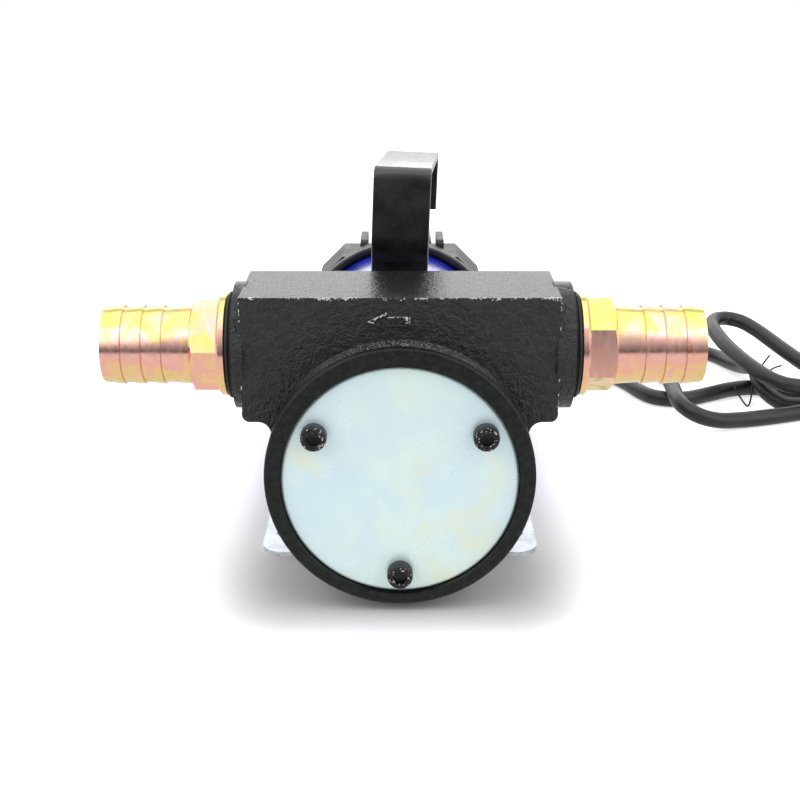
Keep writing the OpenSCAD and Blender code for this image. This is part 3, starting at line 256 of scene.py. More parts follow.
def bent_path(corners: Sequence[Vector], steps: int) -> list[Vector]:
    """Runs a Bezier curve from the first corner to the last, drawn to those between."""
    out = []
    for k in range(steps + 1):
        row = list(corners)
        while len(row) > 1:
            row = [a.lerp(b, k / steps) for a, b in zip(row, row[1:])]
        out.append(row[0])
    return out


def round_cord(name: str, points: Sequence[Vector], radius: float) -> bpy.types.Object:
    """Makes a round cord or wire along points, as one open curve."""
    curve = bpy.data.curves.new(name, "CURVE")
    curve.dimensions = "3D"
    curve.bevel_depth = radius
    curve.bevel_resolution = 5
    curve.use_fill_caps = True
    line = curve.splines.new("POLY")
    line.points.add(len(points) - 1)
    for spot, point in zip(line.points, points):
        spot.co = (*point, 1.0)
    line.use_smooth = True
    made = bpy.data.objects.new(name, curve)
    bpy.context.scene.collection.objects.link(made)
    return made


# Finishes


def linear(colour: str) -> tuple[float, float, float, float]:
    """Turns a colour written as #rrggbb into the numbers that a shader takes."""
    parts = [int(colour[i:i + 2], 16) / 255 for i in (1, 3, 5)]
    r, g, b = (c / 12.92 if c <= 0.04045 else ((c + 0.055) / 1.055) ** 2.4 for c in parts)
    return (r, g, b, 1.0)


class NodeTree:
    """A tree of shader nodes, written as short calls."""

    def __init__(self, tree: bpy.types.NodeTree) -> None:
        """Keeps the tree."""
        self.tree = tree

    def feed(self, socket: Socket, value: object) -> None:
        """Links a socket's source to it, or sets its value."""
        if isinstance(value, Socket):
            self.tree.links.new(value, socket)
        else:
            socket.default_value = value

    def fill(self, made: bpy.types.Node, *values: object) -> Socket:
        """Feeds a node's inputs in their order, and gives its first output."""
        for socket, value in zip(made.inputs, values):
            self.feed(socket, value)
        return made.outputs[0]

    def node(self, kind: str, **inputs: object) -> bpy.types.Node:
        """Adds a node and feeds its inputs, named with underscores for spaces."""
        made = self.tree.nodes.new(kind)
        for key, value in inputs.items():
            self.feed(made.inputs[key.replace("_", " ")], value)
        return made

    def sum(self, kind: str, a: object, b: object = 0.0, c: object = 0.0) -> Socket:
        """One step of arithmetic."""
        made = self.node("ShaderNodeMath")
        made.operation = kind
        return self.fill(made, a, b, c)

    def product(self, first: object, *others: object) -> object:
        """Multiplies values with one another."""
        for other in others:
            first = self.sum("MULTIPLY", first, other)
        return first

    def distance(self, a: object, b: object) -> Socket:
        """The distance whose parts along two axes are a and b."""
        return self.sum("SQRT", self.sum("ADD", self.product(a, a), self.product(b, b)))

    def spread(self, value: Socket, low: float, high: float, out_low: float = 0.0,
               out_high: float = 1.0) -> Socket:
        """Maps a range to another, softly and within its ends."""
        made = self.node("ShaderNodeMapRange")
        made.interpolation_type = "SMOOTHSTEP"
        return self.fill(made, value, low, high, out_low, out_high)

    def blend(self, share: object, a: object, b: object) -> Socket:
        """Mixes two colours."""
        made = self.node("ShaderNodeMix")
        made.data_type = "RGBA"
        for index, value in ((0, share), (6, a), (7, b)):
            self.feed(made.inputs[index], value)
        return made.outputs[2]

    def choose(self, share: object, a: object, b: object) -> Socket:
        """Mixes two shaders."""
        return self.fill(self.node("ShaderNodeMixShader"), share, a, b)

    def ramp(self, value: Socket,
             stops: Sequence[tuple[float, tuple]]) -> Socket:
        """Colours a value by stops of (position, colour)."""
        made = self.node("ShaderNodeValToRGB", Fac=value)
        row = made.color_ramp.elements
        while len(row) < len(stops):
            row.new(0.5)
        for spot, (position, colour) in zip(row, stops):
            spot.position, spot.color = position, colour
        return made.outputs["Color"]

    def rays(self) -> tuple[Socket, Socket]:
        """Whether the camera sees a point itself, and whether it sees it mirrored or refracted."""
        kinds = self.node("ShaderNodeLightPath").outputs
        return kinds["Is Camera Ray"], self.sum("MAXIMUM", kinds["Is Glossy Ray"],
                                                kinds["Is Transmission Ray"])


class Recipe(NodeTree):
    """The node tree of one material."""

    def __init__(self, name: str) -> None:
        """Starts a material with its shader and its place on the object."""
        self.material = bpy.data.materials.new(name)
        self.material.use_nodes = True
        super().__init__(self.material.node_tree)
        self.shader = next(n for n in self.tree.nodes if n.type == "BSDF_PRINCIPLED")
        spots = self.node("ShaderNodeTexCoord").outputs
        self.place, self.facing = spots["Object"], spots["Normal"]

    def noise(self, size: float, detail: float = 3.0, stretch: tuple = (1, 1, 1),
              warp: float = 0.0) -> Socket:
        """Cloudy noise whose clouds are about size metres wide."""
        spot = self.node("ShaderNodeMapping", Vector=self.place, Scale=stretch)
        made = self.node("ShaderNodeTexNoise", Vector=spot.outputs[0], Scale=1 / size,
                         Detail=detail, Roughness=0.55, Distortion=warp)
        return made.outputs["Fac"]

    def axes(self) -> tuple[Socket, ...]:
        """The place on the object, as x, y and z."""
        return tuple(self.node("ShaderNodeSeparateXYZ", Vector=self.place).outputs)

    def up(self) -> Socket:
        """How far the surface faces up: one on a level top."""
        return self.node("ShaderNodeSeparateXYZ", Vector=self.facing).outputs[2]

    def relief(self, height: Socket, depth: float, edge: float = 0.0) -> None:
        """Gives the surface its grain, over edges softened by a radius."""
        made = self.node("ShaderNodeBump", Height=height, Distance=depth, Strength=1.0)
        if edge > 0:
            soft = self.node("ShaderNodeBevel", Radius=edge)
            soft.samples = 4
            self.feed(made.inputs["Normal"], soft.outputs[0])
        self.feed(self.shader.inputs["Normal"], made.outputs[0])

    def set(self, **values: object) -> None:
        """Sets the shader's own inputs, named with underscores for spaces."""
        for key, value in values.items():
            self.feed(self.shader.inputs[key.replace("_", " ")], value)


@dataclass(frozen=True)
class Surface:
    """A finish of even kind: two tones in clouds, a range of gloss and a fine grain.

    The clouds' and grain's widths, the grain's depth and the edges' softness are in millimetres.
    """

    name: str
    light: str
    dark: str
    cloud: float
    grain: float
    depth: float
    gloss: tuple[float, float]
    metallic: float = 0.0
    specular: float = 0.5
    coat: float = 0.0
    edge: float = 0.3
    brushed: Triple = (1, 1, 1)

    def material(self) -> bpy.types.Material:
        """Builds the material."""
        mix = Recipe(self.name)
        clouds = mix.noise(self.cloud * MM, 4.0)
        fine = mix.noise(self.grain * MM, 3.0, self.brushed)
        mix.set(Base_Color=mix.blend(mix.spread(clouds, 0.3, 0.7), linear(self.dark),
                                     linear(self.light)),
                Roughness=mix.spread(mix.sum("ADD", clouds, fine), 0.7, 1.3, *self.gloss),
                Metallic=self.metallic, Specular_IOR_Level=self.specular,
                Coat_Weight=self.coat, Coat_Roughness=0.12)
        mix.relief(fine, self.depth * MM, self.edge * MM)
        return mix.material


@dataclass(frozen=True)
class CastEnamel:
    """Black enamel on rough cast iron, smooth on the turned rim, rubbed through on the block's
    top-front edge under a painted highlight; painted highlights on its side edges and the arrow's
    upper edges, and painted glints on the short cylinder.
    """

    name: str = "black_enamel_on_casting"
    colour: str = "#131614"
    dusty: str = "#212523"
    # Colour of rubbed metal on the top edge, and of the painted highlight on the side edges and the
    # arrow's upper edges.
    rubbed_and_highlight: str = "#c9c1bb"
    # Colour of the painted glints on the short cylinder's up-facing grit.
    glint: str = "#a9b0ad"
    face_y: float = -110 * MM
    block_x: float = 60.8 * MM
    block_y: float = -97.3 * MM
    block_z: float = 123.2 * MM
    arrow_mid: float = 113.6 * MM
    lump: float = 2.4 * MM
    grit: float = 0.8 * MM
    depth: float = 1.1 * MM
    top_reach: float = 1.1 * MM
    # How far the painted highlight reaches from the block's side edges.
    side_highlight_reach: float = 0.4 * MM

    def behind(self, mix: Recipe, y: object, near: float, far: float, least: float = 0.0) -> object:
        """A share that grows to one over a stretch behind the rim's face, in metres."""
        return mix.spread(y, self.face_y + near, self.face_y + far, least, 1.0)

    def edge_rub_and_highlight(self, mix: Recipe, a: object, b: object, reach: float) -> object:
        """Rubbed metal and painted highlight along one edge, in patches.

        Args:
            mix: the material in the making.
            a: distance from the edge in one direction.
            b: distance from the edge in the other direction.
            reach: how far from the edge the light patches may go.

        Returns:
            A share, one on the light patches.
        """
        patches = mix.sum("ADD", mix.noise(4 * MM, 5.0), mix.noise(0.9 * MM, 2.0))
        return mix.sum("LESS_THAN", mix.distance(a, b), mix.spread(patches, 1.05, 1.25, 0.0, reach))

    def arrow_painted_highlights(self, mix: Recipe, y: object, z: object) -> object:
        """Painted highlight specks on the raised arrow's upper edges, as a share."""
        return mix.product(mix.sum("LESS_THAN", y, self.block_y - 0.5 * MM),
                           mix.sum("GREATER_THAN", z, self.arrow_mid),
                           mix.sum("GREATER_THAN", mix.noise(1.0 * MM, 2.0), 0.5))

    def painted_glint_band(self, mix: Recipe, y: object, up: object) -> object:
        """Painted glints in specks on the up-facing short cylinder between rim and block, as a
        share.
        """
        return mix.product(mix.sum("GREATER_THAN", y, self.face_y + 3.5 * MM),
                           mix.sum("LESS_THAN", y, self.block_y), mix.spread(up, 0.55, 0.9),
                           mix.spread(mix.noise(0.55 * MM, 2.0), 0.5, 0.68))

    def material(self) -> bpy.types.Material:
        """Builds the material."""
        mix = Recipe(self.name)
        (x, y, z), up = mix.axes(), mix.up()
        top = mix.spread(up, 0.9, 0.99)
        from_front = mix.sum("SUBTRACT", y, self.block_y)
        from_top = mix.sum("SUBTRACT", z, self.block_z)
        from_side = mix.sum("SUBTRACT", mix.sum("ABSOLUTE", x), self.block_x)
        # Light patches: rubbed metal with a painted highlight on the top-front edge, and painted
        # highlights on the side edges and the arrow's upper edges.
        rubbed_and_highlights = self.edge_rub_and_highlight(mix, from_front, from_top, self.top_reach)
        for other in (self.edge_rub_and_highlight(mix, from_front, from_side, self.side_highlight_reach),
                      self.arrow_painted_highlights(mix, y, z)):
            rubbed_and_highlights = mix.sum("MAXIMUM", rubbed_and_highlights, other)
        lumps, grit = mix.noise(self.lump, 3.0, warp=0.5), mix.noise(self.grit, 2.0)
        enamel = mix.blend(mix.spread(lumps, 0.35, 0.75), linear(self.colour), linear(self.dusty))
        # Painted glints in specks on the up-facing short cylinder.
        enamel = mix.blend(self.painted_glint_band(mix, y, up), enamel, linear(self.glint))
        dull = mix.spread(grit, 0.3, 0.7, 0.28, 0.42)
        shine = mix.sum("MULTIPLY_ADD", self.behind(mix, y, 0.8 * MM, 2.0 * MM), 0.24, 0.2)
        # The light patches take the colour of rubbed metal and painted highlight over the enamel.
        mix.set(Base_Color=mix.blend(rubbed_and_highlights, enamel, linear(self.rubbed_and_highlight)),
                Metallic=mix.product(rubbed_and_highlights, 0.6),
                Roughness=mix.sum("MULTIPLY_ADD", top, -0.12, dull),
                Specular_IOR_Level=mix.sum("MULTIPLY_ADD", top, -0.27, shine))
        height = mix.product(mix.sum("ADD", lumps, mix.product(grit, 0.5)),
                             self.behind(mix, y, 0.4 * MM, 1.6 * MM, 0.12),
                             mix.sum("MULTIPLY_ADD", top, -0.8, 1.0))
        mix.relief(height, self.depth, 0.5 * MM)
        return mix.material


@dataclass(frozen=True)
class CoverZinc:
    """Pale zinc plate with faint blue and yellow clouds, as on the round cover."""

    name: str = "clouded_zinc"
    pale: str = "#daeeea"
    blue: str = "#d2e7ee"
    yellow: str = "#e2e8d2"

    def material(self) -> bpy.types.Material:
        """Builds the material."""
        mix = Recipe(self.name)
        broad, fine = mix.noise(34 * MM, 2.0, warp=0.6), mix.noise(7 * MM, 3.0)
        tint = mix.blend(mix.spread(broad, 0.36, 0.66), linear(self.blue), linear(self.pale))
        tint = mix.blend(mix.spread(mix.noise(19 * MM, 2.0), 0.5, 0.78, 0.0, 0.8), tint,
                         linear(self.yellow))
        mix.set(Base_Color=tint, Metallic=0.4,
                Roughness=mix.spread(fine, 0.3, 0.7, 0.26, 0.42))
        mix.relief(mix.noise(5 * MM, 1.0), 0.004 * MM, 1.0 * MM)
        return mix.material


@dataclass(frozen=True)
class OxidePaintedGlints:
    """Black oxide on the cover's screws, with painted glints in specks round the head's face."""

    name: str = "black_oxide_painted_glints"
    dark: str = "#121214"
    # Colour of the painted glints round the head's face.
    painted_glint: str = "#cfc8c2"
    glint_depth: float = 0.45 * MM

    def material(self) -> bpy.types.Material:
        """Builds the material."""
        mix = Recipe(self.name)
        grain = mix.noise(0.4 * MM, 3.0)
        # Painted glints in specks near the head's face, all round it.
        painted_glint = mix.product(mix.sum("LESS_THAN", mix.axes()[1], SCREW_FACE_Y + self.glint_depth),
                           mix.spread(mix.noise(0.9 * MM, 3.0), 0.6, 0.64))
        mix.set(Base_Color=mix.blend(painted_glint, linear(self.dark), linear(self.painted_glint)),
                Metallic=mix.sum("MULTIPLY_ADD", painted_glint, 0.5, 0.3),
                Roughness=mix.spread(grain, 0.3, 0.7, 0.22, 0.4))
        mix.relief(grain, 0.02 * MM, 0.15 * MM)
        return mix.material


@dataclass(frozen=True)
class YellowPlate:
    """Yellow passivated zinc, which turns from pale green through amber to pink, its tints laid by
    how far the surface faces up as painted shade and reflection.
    """

    name: str = "yellow_passivated_zinc"
    stops: tuple[tuple[float, str], ...] = (
        (0.0, "#a39a52"), (0.12, "#dcc878"), (0.26, "#efc78e"), (0.40, "#f0b3a0"),
        (0.52, "#eeb9ae"), (0.64, "#edbfae"), (0.76, "#e4c084"), (0.88, "#d4c674"),
        (0.98, "#c9c566"))

    def material(self) -> bpy.types.Material:
        """Builds the material."""
        mix = Recipe(self.name)
        clouds = mix.noise(10 * MM, 2.0, warp=0.8)
        flecks = mix.noise(2.2 * MM, 4.0, (1, 0.35, 0.35))
        drift = mix.sum("ADD", mix.product(clouds, 0.8), mix.product(flecks, 0.14))
        # The tint follows how far the surface faces up, from a darker olive facing down to yellow
        # facing up: the passivation's own tints, laid out as painted shade and reflection.
        value = mix.sum("ADD", mix.product(mix.up(), 0.38), mix.sum("ADD", drift, 0.03))
        colour = mix.ramp(value, [(position, linear(tone)) for position, tone in self.stops])
        mix.set(Base_Color=colour, Metallic=1.0,
                Roughness=mix.spread(flecks, 0.3, 0.75, 0.14, 0.28))
        lathe_marks = mix.noise(0.25 * MM, 2.0, (1, 0.04, 0.04))
        mix.relief(lathe_marks, 0.012 * MM, 0.25 * MM)
        return mix.material


@dataclass(frozen=True)
class ClearVinyl:
    """Soft clear plastic, a little cloudy."""

    name: str = "clear_boot_vinyl"
    clear: str = "#eef3f2"
    cloudy: str = "#d9e2e2"

    def material(self) -> bpy.types.Material:
        """Builds the material."""
        mix = Recipe(self.name)
        clouds = mix.noise(4 * MM, 3.0)
        mix.set(Base_Color=mix.blend(clouds, linear(self.clear), linear(self.cloudy)),
                Roughness=mix.spread(clouds, 0.3, 0.7, 0.06, 0.14), IOR=1.45,
                Transmission_Weight=0.86)
        mix.relief(mix.noise(9 * MM, 1.0), 0.05 * MM)
        return mix.material


FINISHES: dict[str, object] = {
    "black_casting": CastEnamel(),
    "black_alloy": Surface("black_alloy_enamel", "#202224", "#131416", 9, 0.8, 0.12, (0.32, 0.5),
                           specular=0.4, edge=0.5),
    "black_plastic": Surface("black_moulding", "#1d1e20", "#131416", 12, 0.35, 0.04, (0.38, 0.52),
                             specular=0.45, edge=0.5),
    "zinc_plate": CoverZinc(),
    "gasket_fibre": Surface("gasket_fibre", "#8a6f4c", "#6d5538", 3, 0.5, 0.05, (0.7, 0.9),
                            edge=0),
    "black_screws": OxidePaintedGlints(),
    "yellow_zinc": YellowPlate(),
    "black_rubber": Surface("black_rubber", "#17181a", "#0e0f10", 4, 0.4, 0.03, (0.45, 0.62),
                            specular=0.4, edge=0.2),
    "brass": Surface("turned_brass", "#d6b36a", "#b78f45", 5, 0.3, 0.01, (0.2, 0.36), metallic=1.0,
                     edge=0.2),
    "spring_steel": Surface("spring_steel", "#b9babd", "#8e8f92", 3, 0.3, 0.01, (0.25, 0.4),
                            metallic=1.0, edge=0.1),
    "zinc_screws": Surface("zinc_plated_screws", "#d4d7da", "#aeb3b8", 3, 0.25, 0.01, (0.22, 0.4),
                           metallic=1.0, edge=0.15),
    "blue_paint": Surface("gloss_blue_paint", "#2636c4", "#1d2aa6", 30, 1.2, 0.02, (0.2, 0.3),
                          specular=0.5, coat=0.5),
    "ferrite": Surface("pressed_ferrite", "#4a4847", "#373534", 4, 0.5, 0.04, (0.5, 0.7)),
    "bearing_steel": Surface("ground_steel", "#d2d4d7", "#a9acb0", 6, 0.2, 0.006, (0.14, 0.28),
                             metallic=1.0, edge=0.2, brushed=(1, 0.05, 1)),
    "sintered_steel": Surface("sintered_steel", "#8c8d90", "#6c6d70", 2, 0.4, 0.03, (0.4, 0.6),
                              metallic=0.9),
    "vane_resin": Surface("vane_resin", "#6e5233", "#523b22", 3, 0.4, 0.02, (0.4, 0.6)),
    "core_steel": Surface("core_sheets", "#8f9194", "#5f6164", 20, 0.5, 0.12, (0.3, 0.5),
                          metallic=0.9, brushed=(0.05, 1, 0.05)),
    "winding_copper": Surface("varnished_copper", "#c9783c", "#8f4a1e", 2, 0.8, 0.25, (0.25, 0.45),
                              metallic=0.7, brushed=(1, 0.2, 1)),
    "board_resin": Surface("laminated_board", "#9a6a3c", "#7c5028", 6, 0.6, 0.03, (0.45, 0.6)),
    "carbon": Surface("pressed_carbon", "#3a3a3c", "#29292b", 2, 0.3, 0.02, (0.35, 0.55),
                      metallic=0.3),
    "lead_cover": Surface("lead_insulation", "#a8482c", "#8a341c", 8, 0.4, 0.01, (0.35, 0.5)),
    "red_rocker": Surface("red_rocker", "#d8261c", "#b81a12", 8, 0.3, 0.01, (0.16, 0.26), coat=0.3,
                          edge=0.5),
    "clear_boot": ClearVinyl(),
    "cord_cover": Surface("lead_sheath", "#17181a", "#0e0f10", 14, 0.6, 0.03, (0.34, 0.48),
                          specular=0.5, edge=0),
    "plug_rubber": Surface("plug_moulding", "#202124", "#151618", 8, 0.35, 0.04, (0.4, 0.55),
                           edge=0.3),
    "bright_zinc": Surface("bright_zinc_sheet", "#c3c7cb", "#8e9399", 7, 0.4, 0.02, (0.2, 0.42),
                           metallic=0.95, edge=0.4),
    "handle_paint": Surface("gloss_black_strip", "#232427", "#141416", 10, 1.6, 0.05, (0.18, 0.32),
                            specular=0.5, coat=0.35, edge=0),
}


class Bench:
    """Where pieces get their finish, body, slot and the solids that they stand for."""

    def __init__(self, frame: dict) -> None:
        """Keeps the frame, and makes each finish once."""
        self.frame = frame
        self.finishes = {slot: kind.material() for slot, kind in FINISHES.items()}

    def dress_solids(self) -> None:
        """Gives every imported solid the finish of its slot."""
        for part in self.frame["record"]["subparts"]:
            solid = self.frame["nodes"][part["node"]]
            solid.data.materials.clear()
            solid.data.materials.append(self.finishes[part["material_slot"]])

    def place(self, piece: bpy.types.Object, slot: str, *nodes: str,
              body: str = HOUSING) -> bpy.types.Object:
        """Finishes a new piece.

        Args:
            piece: the new object, already in its place.
            slot: the material slot that it takes its finish from.
            nodes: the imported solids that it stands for.
            body: the body that it moves with.

        Returns:
            The piece.
        """
        piece.data.materials.append(self.finishes[slot])
        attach(piece, body)
        if nodes:
            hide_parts(*nodes)
        LOG.info("%s: finish %s, body %s, stands for %s", piece.name, slot, body, list(nodes))
        return piece


# The studio


@dataclass(frozen=True)
class SoftBox:
    """One rectangular lamp."""

    name: str
    place: Triple
    aim: Triple
    width: float
    height: float
    power: float

    def hang(self) -> None:
        """Hangs the lamp, turned to what it is aimed at."""
        lamp = bpy.data.lights.new(self.name, "AREA")
        lamp.shape, lamp.energy = "RECTANGLE", self.power
        lamp.size, lamp.size_y = self.width, self.height
        made = bpy.data.objects.new(self.name, lamp)
        made.location = self.place
        beam = Vector(self.aim) - Vector(self.place)
        made.rotation_euler = beam.to_track_quat("-Z", "Y").to_euler()
        bpy.context.scene.collection.objects.link(made)


@dataclass
class Studio:
    """The camera of the photograph, a pale floor and soft light.

    The floor's glow, for the camera alone, starts at the pad's edges and is whole at fade. The
    mirrored floor is dim in front of one place and pale behind another, by y.
    """

    lens: float = 63.0
    sensor: float = 36.0
    camera_place: Triple = (0.0, -0.6085, 0.2453)
    camera_drop: float = 17.6
    floor_size: float = 8.0
    paper: str = "#f0f0f0"
    # Paper colour of the painted shadow round the object.
    painted_shadow_paper: str = "#cccccc"
    pad: tuple[float, float] = (0.04, 0.10)
    fade: float = 0.08
    far_glow: float = 0.62
    mirrored_floor: tuple[float, float, float, float] = (-0.66, -0.50, 0.14, 0.95)
    room_light: float = 0.55
    mirrored_walls: tuple[tuple[float, float], ...] = (
        (0.0, 0.30), (0.12, 0.34), (0.35, 0.62), (0.65, 0.95), (1.0, 1.0))
    mirrored_rear: float = 0.95
    lamps: tuple[SoftBox, ...] = (
        SoftBox("overhead_box", (0.0, 0.0, 1.3), (0.0, 0.0, 0.0), 2.0, 2.0, 12.0),
        SoftBox("left_box", (-0.95, -0.8, 0.75), (0.0, -0.05, 0.08), 1.2, 1.2, 6.5),
        SoftBox("right_box", (1.05, -0.65, 0.65), (0.0, 0.0, 0.08), 1.2, 1.2, 6.5),
        SoftBox("rear_box", (0.0, 1.5, 0.62), (0.0, 0.0, 0.1), 1.8, 0.7, 6.0),
    )

    def camera(self) -> None:
        """Sets the camera at the photograph's angle and distance."""
        eye = bpy.data.objects.new("camera", bpy.data.cameras.new("camera"))
        eye.data.lens, eye.data.sensor_width = self.lens, self.sensor
        eye.data.clip_start, eye.data.clip_end = 0.01, 50.0
        eye.location = self.camera_place
        eye.rotation_euler = (math.radians(90 - self.camera_drop), 0.0, 0.0)
        bpy.context.scene.collection.objects.link(eye)
        bpy.context.scene.camera = eye
        bpy.context.scene.view_settings.view_transform = "Standard"

    def floor_glow(self, mix: Recipe) -> Socket:
        """Light that the floor gives to the camera: none by the object, white farther away."""
        beyond = [mix.sum("MAXIMUM", mix.sum("SUBTRACT", mix.sum("ABSOLUTE", spot), half), 0.0)
                  for spot, half in zip(mix.axes(), self.pad)]
        return mix.spread(mix.distance(*beyond), 0.0, self.fade, 0.0, self.far_glow)

    def floor(self) -> None:
        """Lays the pale floor, which keeps the shadow, carries a painted shadow of darker paper
        round the object, and fades to white.
        """
        half = self.floor_size / 2
        shape = Shape()
        shape.points = [Vector((x, y, 0)) for x, y in ((-half, -half), (half, -half),
                                                       (half, half), (-half, half))]
        shape.faces = [(0, 1, 2, 3)]
        floor = shape.make("floor")
        mix = Recipe("white_floor")
        (in_view, in_mirror), here = mix.rays(), self.floor_glow(mix)
        # Painted shadow: the paper is darker where the glow is low, round the object.
        mix.set(Base_Color=mix.blend(mix.spread(here, 0.0, 0.3), linear(self.painted_shadow_paper),
                                     linear(self.paper)),
                Roughness=0.85, Specular_IOR_Level=0.1)
        glow = mix.node("ShaderNodeEmission", Color=WHITE, Strength=mix.product(in_view, here))
        lit = mix.fill(mix.node("ShaderNodeAddShader"), mix.shader.outputs[0], glow.outputs[0])
        mirrored = mix.node("ShaderNodeEmission", Color=WHITE,
                            Strength=mix.spread(mix.axes()[1], *self.mirrored_floor))
        out = next(n for n in mix.tree.nodes if n.type == "OUTPUT_MATERIAL")
        mix.feed(out.inputs["Surface"], mix.choose(in_mirror, lit, mirrored.outputs[0]))
        floor.data.materials.append(mix.material)

    def room(self) -> None:
        """Makes the room: white to the camera, shaded in mirrors, dimmer as light."""
        world = bpy.data.worlds.new("white_room")
        bpy.context.scene.world = world
        world.use_nodes = True
        world.node_tree.nodes.clear()
        mix = NodeTree(world.node_tree)
        in_view, in_mirror = mix.rays()
        spot = mix.node("ShaderNodeTexCoord").outputs["Generated"]
        split = mix.node("ShaderNodeSeparateXYZ", Vector=spot).outputs
        walls = mix.ramp(split[2], [(high, (level, level, level, 1.0))
                                    for high, level in self.mirrored_walls])
        rear = (self.mirrored_rear, self.mirrored_rear, self.mirrored_rear, 1.0)
        walls = mix.blend(mix.spread(split[1], -0.75, -0.25), walls, rear)
        lit = mix.node("ShaderNodeBackground", Color=WHITE, Strength=self.room_light)
        mirrored = mix.node("ShaderNodeBackground", Color=walls)
        white = mix.node("ShaderNodeBackground", Color=WHITE)
        seen = mix.choose(in_mirror, lit.outputs[0], mirrored.outputs[0])
        mix.node("ShaderNodeOutputWorld", Surface=mix.choose(in_view, seen, white.outputs[0]))

    def build(self) -> None:
        """Builds the whole studio, the camera first."""
        self.camera()
        self.floor()
        self.room()
        for lamp in self.lamps:
            lamp.hang()


# The mains lead


